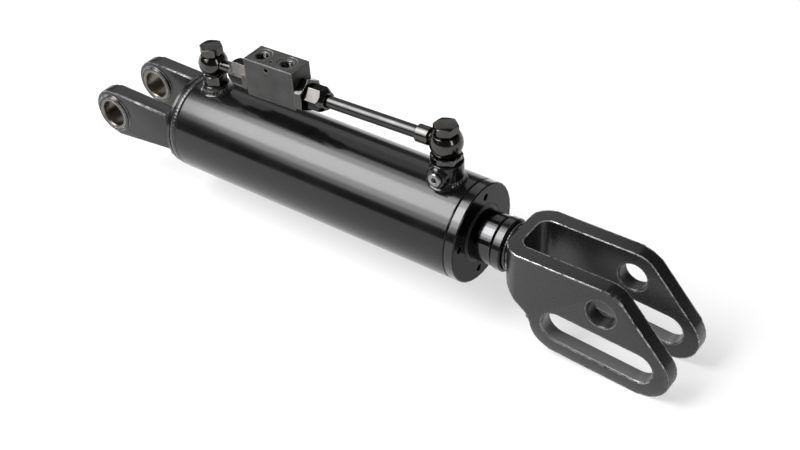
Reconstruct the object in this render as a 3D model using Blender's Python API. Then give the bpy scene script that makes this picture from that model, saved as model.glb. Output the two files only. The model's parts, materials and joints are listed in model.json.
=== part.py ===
"""Hydraulic lift rod: a double-acting cylinder with a two-ear base fork, a long slotted rod fork and a
locking valve piped between its ports.

Metres, +X from the base fork to the rod fork, +Z up. The object stands on Z = 0 with its middle at X = 0.
"""

from math import acos, asin, atan2, ceil, cos, hypot, pi, radians, sin, sqrt, tan

import bmesh
import bpy
from mathutils import Vector

MM = 0.001

# Gaps
SEAT_GAP = 0.3 * MM
RUNNING_GAP = 0.3 * MM
END_STOP_GAP = 1.0 * MM
CUT_MARGIN = 1.0 * MM
FRAME_SIZE = 20.0 * MM

# Barrel
BARREL_LENGTH = 297.5 * MM
BARREL_RADIUS = 45.0 * MM
BARREL_WALL = 7.5 * MM
BARREL_EDGE = 0.8 * MM

# Base cap and its weld
CAP_THICKNESS = 11.0 * MM
CAP_SETBACK = 0.7 * MM
CAP_SPIGOT_LENGTH = 8.0 * MM
CAP_EDGE = 0.8 * MM
CAP_WELD_WIDTH = 7.0 * MM
CAP_WELD_DEPTH = 3.0 * MM
CAP_WELD_CROWN = 0.5 * MM

# Base fork
BASE_PIN_REACH = 74.8 * MM
EAR_INSET_SHARE = 0.1129
EAR_THICKNESS = 15.0 * MM
EAR_RADIUS = 23.5 * MM
EAR_TOP_SHARE = 0.519
EAR_BOTTOM_SHARE = 0.3725
EAR_RIM = 2.0 * MM
EAR_BOSS_RADIUS = 19.6 * MM
EAR_BOSS_HEIGHT = 2.4 * MM
EAR_BOSS_SLOPE = 1.4 * MM
EAR_BOSS_FOOT_SHARE = 1.2
EAR_WELD_SIZE = 4.0 * MM
EAR_FOOT_ROUND = 2.0 * MM
EAR_WELD_BULGE = 0.62
EAR_WELD_TOE = 0.8 * MM
BASE_PIN_RADIUS = 13.0 * MM
BUSH_WALL = 2.6 * MM
BUSH_CHAMFER = 0.9 * MM

# Gland
GLAND_FLANGE = 9.5 * MM
GLAND_THREAD_LENGTH = 15.0 * MM
GLAND_NOSE_LENGTH = 21.0 * MM
GLAND_NOSE_CLEARANCE = 4.5 * MM
GLAND_EDGE = 0.9 * MM
SPANNER_HOLE_COUNT = 4
SPANNER_HOLE_RADIUS = 3.3 * MM
SPANNER_HOLE_DEPTH = 6.0 * MM
SPANNER_CIRCLE_INSET = 10.3 * MM
SPANNER_FIRST_ANGLE = radians(-9.0)
WIPER_WIDTH = 5.4 * MM
WIPER_DEPTH = 4.2 * MM
WIPER_LIP = 0.8 * MM
ROD_SEAL_WIDTH = 7.4 * MM
ROD_SEAL_DEPTH = 5.0 * MM
ROD_SEAL_MARGIN = 5.6 * MM
SEAL_NOTCH = 2.2 * MM
ROD_GUIDE_WIDTH = 12.0 * MM
ROD_GUIDE_DEPTH = 2.5 * MM
ROD_GUIDE_MARGIN = 6.0 * MM
GLAND_RING_WIDTH = 3.4 * MM
GLAND_RING_DEPTH = 2.7 * MM
GLAND_RING_MARGIN = 2.4 * MM

# Rod and piston
ROD_SHARE_OF_BORE = 0.6
ROD_SHOULDER = 8.5 * MM
ROD_EDGE = 1.0 * MM
ROD_SHOWN = 21.2 * MM
PISTON_LENGTH = 34.0 * MM
PISTON_SEAL_WIDTH = 9.4 * MM
PISTON_SEAL_DEPTH = 5.6 * MM
PISTON_GUIDE_WIDTH = 6.0 * MM
PISTON_GUIDE_DEPTH = 1.9 * MM
PISTON_GUIDE_MARGIN = 3.0 * MM
PISTON_LAND_GAP = 0.6 * MM
PISTON_EDGE = 1.0 * MM
PISTON_RING_WIDTH = 3.4 * MM
PISTON_RING_DEPTH = 2.6 * MM
PISTON_RING_MARGIN = 3.0 * MM
PISTON_NUT_WALL = 6.5 * MM
PISTON_NUT_HEIGHT = 15.0 * MM
PISTON_NUT_FREE = 3.4 * MM
ROD_TAIL = 1.2 * MM

# Neck between rod and rod fork
NECK_GROOVE = 0.6 * MM
COLLAR_LENGTH = 9.4 * MM
COLLAR_PROUD = 1.2 * MM
COLLAR_EDGE = 1.4 * MM
NECK_SHARE_OF_ROD = 2 / 3
NECK_FLOOR = 3.4 * MM
FORK_WELD_LENGTH = 3.6 * MM
FORK_WELD_BELOW_ROD = 0.9 * MM
FORK_WELD_DIP = 1.0 * MM

# Rod fork
FORK_GAP = 38.6 * MM
FORK_CHEEK = 14.0 * MM
FORK_BRIDGE = 12.4 * MM
FORK_TOP_MARGIN = 1.1 * MM
FORK_BACK_ROUND = 22.0 * MM
FORK_POCKET_ROUND = 9.0 * MM
FORK_RIM = 1.8 * MM
FORK_PIN_RADIUS = 12.7 * MM
FORK_PIN_REACH = 95.3 * MM
FORK_PIN_DROP = 1.6 * MM
FORK_NOSE_START = 107.2 * MM
FORK_NOSE_SLOPE = radians(49.0)
FORK_TOP_ROUND = 22.0 * MM
FORK_TIP_ROUND = 24.0 * MM
FORK_HEEL_ROUND = 22.0 * MM
FORK_HEEL_TOP = 35.6 * MM
FORK_NECK_ROUND = 6.0 * MM
FORK_NECK_BOTTOM = 11.7 * MM
FORK_BACK_EDGE_ROUND = 4.0 * MM
FORK_MOUTH_EDGE = 1.0 * MM
FORK_BOSS_WALL = 7.4 * MM
FORK_BOSS_STEP = 1.0 * MM
FORK_BOSS_SETBACK = 0.3 * MM
PLAN_MARGIN = 0.5 * MM
SLOT_START = 56.8 * MM
SLOT_DROP = 35.9 * MM
SLOT_TRAVEL = 72.5 * MM
SLOT_RADIUS = 13.9 * MM
SLOT_SLOPE = radians(4.5)
SLOT_RIM = 12.2 * MM

# Ports
BASE_PORT_INSET = 19.0 * MM
GLAND_PORT_INSET = 24.5 * MM
PORT_HOLE_RADIUS = 4.5 * MM
BASE_BOSS_RADIUS = 12.0 * MM
BASE_BOSS_HEIGHT = 6.5 * MM
GLAND_BOSS_RADIUS = 14.6 * MM
GLAND_BOSS_HEIGHT = 18.5 * MM
BOSS_SKIRT = 2.8 * MM
BOSS_SKIRT_HEIGHT = 4.0 * MM
BOSS_EDGE = 0.8 * MM
BOSS_SKIRT_LIP = 0.5 * MM
BOSS_ROOT = 7.0 * MM
BLEED_STUB_RADIUS = 10.0 * MM
BLEED_STUB_EDGE = 1.6 * MM
BLEED_STUB_REACH = 17.0 * MM
BLEED_STUB_BELOW_TOP = 10.3 * MM
BLEED_PASSAGE_RADIUS = 1.5 * MM
BLEED_STUB_ROOT = 1.4 * MM
BLEED_PLUG_RADIUS = 6.4 * MM
BLEED_PLUG_PROUD = 2.2 * MM
BLEED_PLUG_THREAD = 4.5 * MM
BLEED_PLUG_DEPTH = 6.0 * MM
BLEED_SOCKET_FLATS = 5.0 * MM
BLEED_SOCKET_DEPTH = 3.5 * MM

# Banjo fittings
BASE_ADAPTER_FLATS = 19.0 * MM
GLAND_ADAPTER_FLATS = 24.0 * MM
BASE_ADAPTER_HEIGHT = 9.8 * MM
GLAND_ADAPTER_HEIGHT = 6.3 * MM
BASE_COLLAR_RADIUS = 10.3 * MM
GLAND_COLLAR_RADIUS = 13.0 * MM
ADAPTER_COLLAR_HEIGHT = 2.6 * MM
ADAPTER_COLLAR_SETBACK = 0.3 * MM
ADAPTER_SPIGOT_RADIUS = 8.6 * MM
ADAPTER_SPIGOT_LENGTH = 4.0 * MM
BASE_BANJO_RADIUS = 13.5 * MM
GLAND_BANJO_RADIUS = 14.5 * MM
BANJO_HALF_HEIGHT = 8.6 * MM
BOLT_RADIUS = 6.0 * MM
BOLT_BORE_RADIUS = 2.6 * MM
BOLT_HEAD_FLATS = 19.0 * MM
BOLT_HEAD_HEIGHT = 7.2 * MM
BOLT_THREAD_LENGTH = 9.0 * MM
BOLT_CROSS_HOLE_RADIUS = 1.8 * MM
WASHER_RADIUS = 9.0 * MM
WASHER_THICKNESS = 1.2 * MM
BANJO_PASSAGE_RADIUS = 2.8 * MM

# Valve block, measured along the line from banjo to banjo
BLOCK_LENGTH = 54.4 * MM
BLOCK_WIDTH = 25.0 * MM
BLOCK_ABOVE = 25.6 * MM
BLOCK_BELOW = 11.6 * MM
BLOCK_EDGE = 0.5 * MM
BASE_SERVICE_INSET = 11.4 * MM
GLAND_SERVICE_INSET = 15.0 * MM
SERVICE_PORT_DEPTH = 13.0 * MM
SERVICE_DRILL_RADIUS = 1.4 * MM
SERVICE_PORT_RADIUS = 5.9 * MM
SERVICE_FACE_RADIUS = 9.8 * MM
SERVICE_FACE_DEPTH = 0.7 * MM
SERVICE_PORT_MOUTH = 0.8 * MM
CROSS_HOLE_RADIUS = 2.3 * MM
CROSS_HOLE_BELOW_TOP = 5.4 * MM
TOP_DIMPLE_RADIUS = 1.7 * MM
TOP_DIMPLE_DEPTH = 2.0 * MM
TOP_DIMPLE_SIDE = -5.4 * MM
PILOT_BORE_RADIUS = 6.0 * MM
END_BORE_RADIUS = 8.0 * MM
END_BORE_DEPTH = 7.2 * MM

# Pieces inside the valve block
SEAT_THICKNESS = 2.4 * MM
SEAT_HOLE_RADIUS = 2.8 * MM
PILOT_LENGTH = 12.0 * MM
PILOT_TRAVEL = 1.0 * MM
PILOT_PIN_RADIUS = 1.6 * MM
POPPET_RADIUS = 4.0 * MM
POPPET_NOSE = 1.6 * MM
POPPET_NOSE_RADIUS = 2.4 * MM
POPPET_BODY = 5.0 * MM
POPPET_STEM_RADIUS = 1.6 * MM
POPPET_STEM_LENGTH = 3.0 * MM
POPPET_LIFT = 1.5 * MM
SPRING_LENGTH = 9.0 * MM
SPRING_WIRE_RADIUS = 0.45 * MM
SPRING_TURNS = 3
SPRING_MEAN_RADIUS = 3.2 * MM
SPRING_TURN_STEPS = 8

# Unions and pipe
BASE_UNION_FLATS = 24.0 * MM
GLAND_UNION_FLATS = 27.0 * MM
BASE_UNION_HEX = 6.0 * MM
GLAND_UNION_HEX = 8.0 * MM
UNION_OUTER_THREAD_RADIUS = 7.0 * MM
UNION_OUTER_THREAD_LENGTH = 8.0 * MM
UNION_BORE_RADIUS = 4.7 * MM
UNION_PASSAGE_RADIUS = 3.0 * MM
NUT_FLATS = 20.0 * MM
NUT_LENGTH = 19.0 * MM
BASE_NUT_CONE = 2.4 * MM
GLAND_NUT_CONE = 6.0 * MM
BASE_NECK_SHOWN = 11.5 * MM
NUT_MOUTH_RADIUS = 8.0 * MM
NUT_CONE_SHARE = 0.93
NUT_TURN = radians(49.0)
UNION_TURN = radians(30.0)
ADAPTER_TURN = radians(30.0)
BASE_HEAD_TURN = radians(26.0)
GLAND_HEAD_TURN = radians(22.0)
PIPE_RADIUS = 5.5 * MM
PIPE_WALL = 1.5 * MM
SLEEVE_RADIUS = 7.8 * MM
SLEEVE_LENGTH = 13.0 * MM

# Mesh fineness
ROUND_SIDES = 32
SMALL_SIDES = 16
INNER_SIDES = 24
RING_SIDES = 6
BEAD_STEPS = 3
SKIRT_STEPS = 3
BALL_STEPS = 6
HEX_FACE_SHARE = 0.97
HEX_CHAMFER_SLOPE = 0.6
ARC_STEP = radians(15.0)
MERGE_DISTANCE = 0.001 * MM
SHARP_ANGLE = radians(35.0)

# Worked out from the sizes above; every X here is measured from the barrel's base end
BORE_RADIUS = BARREL_RADIUS - BARREL_WALL
CAP_RADIUS = BARREL_RADIUS - CAP_SETBACK
EAR_INSET = CAP_RADIUS * EAR_INSET_SHARE
EAR_TOP_AT_CAP = CAP_RADIUS * EAR_TOP_SHARE
EAR_BOTTOM_AT_CAP = CAP_RADIUS * EAR_BOTTOM_SHARE
BASE_GAP = 2 * (CAP_RADIUS - EAR_INSET - EAR_THICKNESS - 2 * EAR_BOSS_HEIGHT)
SPANNER_CIRCLE_RADIUS = BARREL_RADIUS - SPANNER_CIRCLE_INSET
GLAND_NOSE_RADIUS = BORE_RADIUS - GLAND_NOSE_CLEARANCE
ROD_RADIUS = BORE_RADIUS * ROD_SHARE_OF_BORE
ROD_SPIGOT_RADIUS = ROD_RADIUS - ROD_SHOULDER
PISTON_NUT_FLATS = 2 * (ROD_SPIGOT_RADIUS + PISTON_NUT_WALL)
COLLAR_RADIUS = ROD_RADIUS + COLLAR_PROUD
NECK_SPIGOT_RADIUS = ROD_RADIUS * NECK_SHARE_OF_ROD
FORK_WELD_RADIUS = ROD_RADIUS - FORK_WELD_BELOW_ROD
FORK_BOSS_RADIUS = NECK_SPIGOT_RADIUS + FORK_BOSS_WALL
FORK_TOP = FORK_BOSS_RADIUS + FORK_TOP_MARGIN
CAP_BACK_X = -CAP_THICKNESS
BASE_PIN_X = CAP_BACK_X - BASE_PIN_REACH
GLAND_SEAT_X = BARREL_LENGTH + SEAT_GAP
GLAND_FACE_X = GLAND_SEAT_X + GLAND_FLANGE
GLAND_THREAD_X = GLAND_SEAT_X - GLAND_THREAD_LENGTH
GLAND_NOSE_X = GLAND_THREAD_X - GLAND_NOSE_LENGTH
NUT_BACK_X = CAP_SPIGOT_LENGTH + PISTON_NUT_FREE
PISTON_BACK_X = NUT_BACK_X + PISTON_NUT_HEIGHT + SEAT_GAP
PISTON_FRONT_X = PISTON_BACK_X + PISTON_LENGTH
PISTON_RADIUS = BORE_RADIUS - PISTON_LAND_GAP
STROKE = GLAND_NOSE_X - PISTON_FRONT_X - END_STOP_GAP
ROD_END_X = GLAND_FACE_X + ROD_SHOWN
COLLAR_X = ROD_END_X + NECK_GROOVE
FORK_WELD_X = COLLAR_X + COLLAR_LENGTH + SEAT_GAP
FORK_BACK_X = FORK_WELD_X + FORK_WELD_LENGTH + SEAT_GAP
FORK_HALF_WIDTH = FORK_GAP / 2 + FORK_CHEEK
BASE_PORT_X = BASE_PORT_INSET
GLAND_PORT_X = BARREL_LENGTH - GLAND_PORT_INSET
WASHER_STEP = WASHER_THICKNESS + 2 * SEAT_GAP
BASE_BOSS_TOP = BARREL_RADIUS + BASE_BOSS_HEIGHT
GLAND_BOSS_TOP = BARREL_RADIUS + GLAND_BOSS_HEIGHT
BANJO_ABOVE_ADAPTER = WASHER_STEP + BANJO_HALF_HEIGHT
BASE_BANJO_HEIGHT = BASE_BOSS_TOP + SEAT_GAP + BASE_ADAPTER_HEIGHT + BANJO_ABOVE_ADAPTER
GLAND_BANJO_HEIGHT = GLAND_BOSS_TOP + SEAT_GAP + GLAND_ADAPTER_HEIGHT + BANJO_ABOVE_ADAPTER
LINE_RUN = GLAND_PORT_X - BASE_PORT_X
LINE_RISE = GLAND_BANJO_HEIGHT - BASE_BANJO_HEIGHT
LINE_LENGTH = hypot(LINE_RUN, LINE_RISE)
LINE_SLOPE = atan2(LINE_RISE, LINE_RUN)
BLOCK_START = BASE_BANJO_RADIUS + BASE_NECK_SHOWN + NUT_LENGTH + BASE_UNION_HEX + 2 * SEAT_GAP
BLOCK_END = BLOCK_START + BLOCK_LENGTH
BLOCK_MIDDLE = BLOCK_START + BLOCK_LENGTH / 2
BASE_SERVICE_PLACE = BLOCK_START + BASE_SERVICE_INSET
GLAND_SERVICE_PLACE = BLOCK_END - GLAND_SERVICE_INSET
PORTS_MIDDLE = (BASE_SERVICE_PLACE + GLAND_SERVICE_PLACE) / 2
BASE_NECK_END = BLOCK_START - SEAT_GAP - BASE_UNION_HEX - UNION_OUTER_THREAD_LENGTH - SEAT_GAP
GLAND_NECK_END = LINE_LENGTH - GLAND_BANJO_RADIUS - SEAT_GAP - SLEEVE_LENGTH / 2

PAINT_GLOSS = ((0.012, 0.012, 0.014), 0.18, 0.0)
PAINT_SATIN = ((0.022, 0.022, 0.023), 0.45, 0.0)
BLACK_ZINC = ((0.045, 0.043, 0.042), 0.28, 0.85)
BLOCK_STEEL = ((0.075, 0.074, 0.073), 0.45, 0.4)
BARE_STEEL = ((0.42, 0.39, 0.36), 0.32, 1.0)
WELD_METAL = ((0.05, 0.05, 0.05), 0.4, 0.3)
SEAL_RUBBER = ((0.02, 0.02, 0.022), 0.6, 0.0)
GUIDE_PLASTIC = ((0.16, 0.11, 0.07), 0.5, 0.0)
COPPER = ((0.35, 0.2, 0.13), 0.35, 1.0)


def clear_scene():
    for item in list(bpy.data.objects):
        bpy.data.objects.remove(item)


def guide_frame(name, parent=None, location=(0.0, 0.0, 0.0), rotation=(0.0, 0.0, 0.0)):
    """An empty that other pieces are placed from."""
    frame = bpy.data.objects.new(name, None)
    frame.empty_display_size = FRAME_SIZE
    bpy.context.scene.collection.objects.link(frame)
    frame.parent = parent
    frame.location = location
    frame.rotation_euler = rotation
    return frame


def finish_for(name, finish):
    """The piece's own material."""
    colour, roughness, metallic = finish
    material = bpy.data.materials.new(name + "_finish")
    material.use_nodes = True
    shader = material.node_tree.nodes["Principled BSDF"]
    shader.inputs["Base Color"].default_value = (*colour, 1.0)
    shader.inputs["Roughness"].default_value = roughness
    shader.inputs["Metallic"].default_value = metallic
    return material


def put_in_scene(name, shape, finish, parent):
    """Turns a bmesh into a named object. Without a finish the object is a hidden cutter."""
    bmesh.ops.recalc_face_normals(shape, faces=shape.faces)
    mesh = bpy.data.meshes.new(name)
    shape.to_mesh(mesh)
    shape.free()
    mesh.shade_smooth()
    mesh.set_sharp_from_angle(angle=SHARP_ANGLE)
    piece = bpy.data.objects.new(name, mesh)
    bpy.context.scene.collection.objects.link(piece)
    piece.parent = parent
    if finish is None:
        piece.hide_render = True
        piece.display_type = "WIRE"
    else:
        mesh.materials.append(finish_for(name, finish))
    return piece


def skin(shape, loops, ring):
    """Joins loops of vertices one after another. A ring joins up with itself, and other runs get two caps."""
    pairs = list(zip(loops, loops[1:]))
    if ring:
        pairs.append((loops[-1], loops[0]))
    for near, far in pairs:
        for index in range(len(near)):
            following = (index + 1) % len(near)
            shape.faces.new((near[index], near[following], far[following], far[index]))
    if ring:
        return []
    return [shape.faces.new(loops[0]), shape.faces.new(loops[-1])]


def turned(name, profile, finish, parent, axis="X", sides=ROUND_SIDES):
    """Spins a cross-section of (along, radius) points round an axis."""
    place, direction = {
        "X": (lambda along, radius: (along, 0.0, radius), (1.0, 0.0, 0.0)),
        "Y": (lambda along, radius: (0.0, along, radius), (0.0, 1.0, 0.0)),
        "Z": (lambda along, radius: (radius, 0.0, along), (0.0, 0.0, 1.0)),
    }[axis]
    shape = bmesh.new()
    points = [shape.verts.new(place(along, radius)) for along, radius in profile]
    pairs = list(zip(points, points[1:]))
    ends_on_axis = profile[0][1] == 0.0 and profile[-1][1] == 0.0
    if not ends_on_axis:
        pairs.append((points[-1], points[0]))
    edges = [shape.edges.new(pair) for pair in pairs]
    bmesh.ops.spin(
        shape, geom=points + edges, cent=(0, 0, 0), axis=direction, angle=2 * pi, steps=sides, use_merge=True
    )
    bmesh.ops.remove_doubles(shape, verts=shape.verts, dist=MERGE_DISTANCE)
    return put_in_scene(name, shape, finish, parent)


def layered(name, outline_at, layers, finish, parent, axis, ring=False, rim=0.0):
    """Skins the outlines outline_at(growth) set at each (along, growth) of the layers."""
    place = {
        "X": lambda along, u, v: (along, u, v),
        "Y": lambda along, u, v: (u, along, v),
        "Z": lambda along, u, v: (u, v, along),
    }[axis]
    shape = bmesh.new()
    loops = []
    for along, growth in layers:
        loops.append([shape.verts.new(place(along, u, v)) for u, v in outline_at(growth)])
    caps = skin(shape, loops, ring)
    if rim > 0.0:
        edges = [edge for cap in caps for edge in cap.edges]
        bmesh.ops.bevel(shape, geom=edges, offset=rim, segments=2, profile=0.5, affect="EDGES")
    return put_in_scene(name, shape, finish, parent)


def pushed(name, outline, low, high, finish, parent, axis="Y", rim=0.0):
    """Pushes a flat outline along an axis, and rounds its two rims where rim is above 0."""
    return layered(name, lambda growth: outline, [(low, 0.0), (high, 0.0)], finish, parent, axis, False, rim)


def combine(piece, operation, *others):
    """Adds a Boolean for each of the other objects."""
    for other in others:
        change = piece.modifiers.new(operation.lower() + "_" + other.name, "BOOLEAN")
        change.operation = operation
        change.solver = "EXACT"
        change.object = other
    return piece


def rounded(corners):
    """The outline through (u, v, radius) corners, each rounded by an arc of its own radius."""
    outline = []
    for index, (u, v, radius) in enumerate(corners):
        if radius == 0.0:
            outline.append((u, v))
            continue
        corner = Vector((u, v))
        back = (Vector(corners[index - 1][:2]) - corner).normalized()
        ahead = (Vector(corners[(index + 1) % len(corners)][:2]) - corner).normalized()
        half = back.angle(ahead) / 2
        centre = corner + (back + ahead).normalized() * (radius / sin(half))
        spoke = corner + back * (radius / tan(half)) - centre
        turn = pi - 2 * half
        if back.x * ahead.y - back.y * ahead.x > 0:
            turn = -turn
        steps = max(1, ceil(abs(turn) / ARC_STEP))
        for step in range(steps + 1):
            angle = turn * step / steps
            point = centre + Vector((
                spoke.x * cos(angle) - spoke.y * sin(angle),
                spoke.x * sin(angle) + spoke.y * cos(angle),
            ))
            outline.append((point.x, point.y))
    return outline


def capsule(u, v, travel, slope, radius):
    """A slot outline: two half circles, the first centred at (u, v), joined along the slope."""
    outline = []
    steps = ceil(pi / ARC_STEP)
    for end, shift in ((0, 0.0), (1, travel)):
        centre_u = u + shift * cos(slope)
        centre_v = v + shift * sin(slope)
        for step in range(steps + 1):
            angle = slope + pi / 2 + pi * (step / steps + end)
            outline.append((centre_u + radius * cos(angle), centre_v + radius * sin(angle)))
    return outline


def disc(u, v, radius, sides=SMALL_SIDES):
    angles = [2 * pi * k / sides for k in range(sides)]
    return [(u + radius * cos(angle), v + radius * sin(angle)) for angle in angles]


def sleeve_profile(start, end, inner, outer, edge=0.0):
    """A plain tube's cross-section, with its outer edges chamfered."""
    if edge == 0.0:
        return [(start, inner), (start, outer), (end, outer), (end, inner)]
    return [
        (start, inner),
        (start, outer - edge),
        (start + edge, outer),
        (end - edge, outer),
        (end, outer - edge),
        (end, inner),
    ]


def ring_profile(middle, radius, thickness):
    """The round cross-section of a sealing ring."""
    return [
        (middle + thickness * cos(2 * pi * k / RING_SIDES), radius + thickness * sin(2 * pi * k / RING_SIDES))
        for k in range(RING_SIDES)
    ]


def hexagon(name, flats, profile, finish, parent, axis="X", turn=0.0):
    """A turned shape whose outside is cut down to six flats."""
    corner = flats / sqrt(3.0)
    outline = [(corner * cos(turn + k * pi / 3), corner * sin(turn + k * pi / 3)) for k in range(6)]
    low = min(along for along, _ in profile) - CUT_MARGIN
    high = max(along for along, _ in profile) + CUT_MARGIN
    piece = pushed(name, outline, low, high, finish, parent, axis)
    rounder = turned(name + "_rounder", profile, None, parent, axis, INNER_SIDES)
    return combine(piece, "INTERSECT", rounder)


def flats_profile(flats, start, end):
    """The turned outside of a hexagon, whose corners are chamfered at both ends."""
    corner = flats / sqrt(3.0)
    face = flats / 2 * HEX_FACE_SHARE
    chamfer = (corner - face) * HEX_CHAMFER_SLOPE
    reach = corner + chamfer
    return [(start, face), (start + chamfer, reach), (end - chamfer, reach), (end, face)]


def box(name, low, high, edge, finish, parent):
    """A block between two opposite corners, with every edge chamfered."""
    shape = bmesh.new()
    bmesh.ops.create_cube(shape, size=1.0)
    for vert in shape.verts:
        vert.co = [a if side < 0 else b for a, b, side in zip(low, high, vert.co)]
    bmesh.ops.bevel(shape, geom=shape.edges[:], offset=edge, segments=1, affect="EDGES")
    return put_in_scene(name, shape, finish, parent)


def barrel(parent):
    tube = turned(
        "barrel_tube",
        sleeve_profile(0.0, BARREL_LENGTH, BORE_RADIUS, BARREL_RADIUS, BARREL_EDGE),
        PAINT_GLOSS,
        parent,
    )
    for name, place in (("base", BASE_PORT_X), ("gland", GLAND_PORT_X)):
        outline = disc(place, 0.0, PORT_HOLE_RADIUS)
        hole = pushed(name + "_port_hole", outline, 0.0, 2 * BARREL_RADIUS, None, parent, "Z")
        combine(tube, "DIFFERENCE", hole)


def base_cap(parent):
    groove = CAP_RADIUS - CAP_WELD_DEPTH
    weld_back = -SEAT_GAP - CAP_WELD_WIDTH
    spigot = BORE_RADIUS - SEAT_GAP
    profile = [
        (CAP_BACK_X, 0.0),
        (CAP_BACK_X, CAP_RADIUS - CAP_EDGE),
        (CAP_BACK_X + CAP_EDGE, CAP_RADIUS),
        (weld_back - SEAT_GAP, CAP_RADIUS),
        (weld_back - SEAT_GAP, groove),
        (-SEAT_GAP, groove),
        (-SEAT_GAP, spigot),
        (CAP_SPIGOT_LENGTH - CAP_EDGE, spigot),
        (CAP_SPIGOT_LENGTH, spigot - CAP_EDGE),
        (CAP_SPIGOT_LENGTH, 0.0),
    ]
    turned("base_cap", profile, PAINT_SATIN, parent)
    bead = [(weld_back, groove + SEAT_GAP)]
    for step in range(BEAD_STEPS + 1):
        share = step / BEAD_STEPS
        bead.append((weld_back + CAP_WELD_WIDTH * share, CAP_RADIUS + CAP_WELD_CROWN * sin(pi * share)))
    bead.append((weld_back + CAP_WELD_WIDTH, groove + SEAT_GAP))
    turned("base_cap_weld", bead, WELD_METAL, parent)


def ear_outline():
    """The side view of one ear: the round eye and the arm that widens from it to the cap."""
    foot = CAP_BACK_X - SEAT_GAP
    run = foot - BASE_PIN_X

    def tangent(height):
        return atan2(height, run) + acos(EAR_RADIUS / hypot(run, height))

    first = tangent(EAR_TOP_AT_CAP)
    last = 2 * pi - tangent(EAR_BOTTOM_AT_CAP)
    steps = ceil((last - first) / ARC_STEP)
    outline = [(foot, -EAR_BOTTOM_AT_CAP), (foot, EAR_TOP_AT_CAP)]
    for step in range(steps + 1):
        angle = first + (last - first) * step / steps
        outline.append((BASE_PIN_X + EAR_RADIUS * cos(angle), EAR_RADIUS * sin(angle)))
    return outline


def base_ear(name, side, parent, pin):
    """One ear with its boss, its bush and the weld round its foot. side is -1 for near and 1 for far."""
    inner = BASE_GAP / 2
    outer = inner + EAR_THICKNESS + 2 * EAR_BOSS_HEIGHT
    low, high = sorted((side * (inner + EAR_BOSS_HEIGHT), side * (outer - EAR_BOSS_HEIGHT)))
    ear = pushed("base_ear_" + name, ear_outline(), low, high, PAINT_SATIN, parent, "Y", EAR_RIM)
    boss_low, boss_high = sorted((side * inner, side * outer))
    foot = EAR_BOSS_HEIGHT * EAR_BOSS_FOOT_SHARE
    boss_profile = [
        (boss_low, 0.0),
        (boss_low, EAR_BOSS_RADIUS - EAR_BOSS_SLOPE),
        (boss_low + foot, EAR_BOSS_RADIUS),
        (boss_high - foot, EAR_BOSS_RADIUS),
        (boss_high, EAR_BOSS_RADIUS - EAR_BOSS_SLOPE),
        (boss_high, 0.0),
    ]
    boss = turned("ear_boss_" + name, boss_profile, None, pin, "Y", INNER_SIDES)
    bush_radius = BASE_PIN_RADIUS + BUSH_WALL
    hole_profile = [(boss_low - CUT_MARGIN, 0.0), (boss_low - CUT_MARGIN, bush_radius + SEAT_GAP)]
    hole_profile += [(boss_high + CUT_MARGIN, bush_radius + SEAT_GAP), (boss_high + CUT_MARGIN, 0.0)]
    hole = turned("ear_hole_" + name, hole_profile, None, pin, "Y", INNER_SIDES)
    combine(combine(ear, "UNION", boss), "DIFFERENCE", hole)
    bush_profile = [
        (boss_low, BASE_PIN_RADIUS + BUSH_CHAMFER),
        (boss_low, bush_radius),
        (boss_high, bush_radius),
        (boss_high, BASE_PIN_RADIUS + BUSH_CHAMFER),
        (boss_high - BUSH_CHAMFER, BASE_PIN_RADIUS),
        (boss_low + BUSH_CHAMFER, BASE_PIN_RADIUS),
    ]
    turned("base_bush_" + name, bush_profile, BARE_STEEL, pin, "Y", INNER_SIDES)

    def foot_outline(growth):
        corner = EAR_FOOT_ROUND + growth
        bottom = -EAR_BOTTOM_AT_CAP - growth
        top = EAR_TOP_AT_CAP + growth
        return rounded([
            (low - growth, bottom, corner),
            (high + growth, bottom, corner),
            (high + growth, top, corner),
            (low - growth, top, corner),
        ])

    toe = CAP_BACK_X - SEAT_GAP
    layers = [
        (toe, SEAT_GAP),
        (toe, SEAT_GAP + EAR_WELD_SIZE),
        (toe - EAR_WELD_SIZE * EAR_WELD_BULGE, SEAT_GAP + EAR_WELD_SIZE * EAR_WELD_BULGE),
        (toe - EAR_WELD_SIZE, EAR_WELD_TOE),
    ]
    weld = layered("base_ear_weld_" + name, foot_outline, layers, WELD_METAL, parent, "X", True)
    trim_profile = [(toe - 2 * EAR_WELD_SIZE, 0.0), (toe - 2 * EAR_WELD_SIZE, CAP_RADIUS - SEAT_GAP)]
    trim_profile += [(toe + EAR_WELD_SIZE, CAP_RADIUS - SEAT_GAP), (toe + EAR_WELD_SIZE, 0.0)]
    combine(weld, "INTERSECT", turned("ear_weld_trim_" + name, trim_profile, None, parent))


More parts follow.
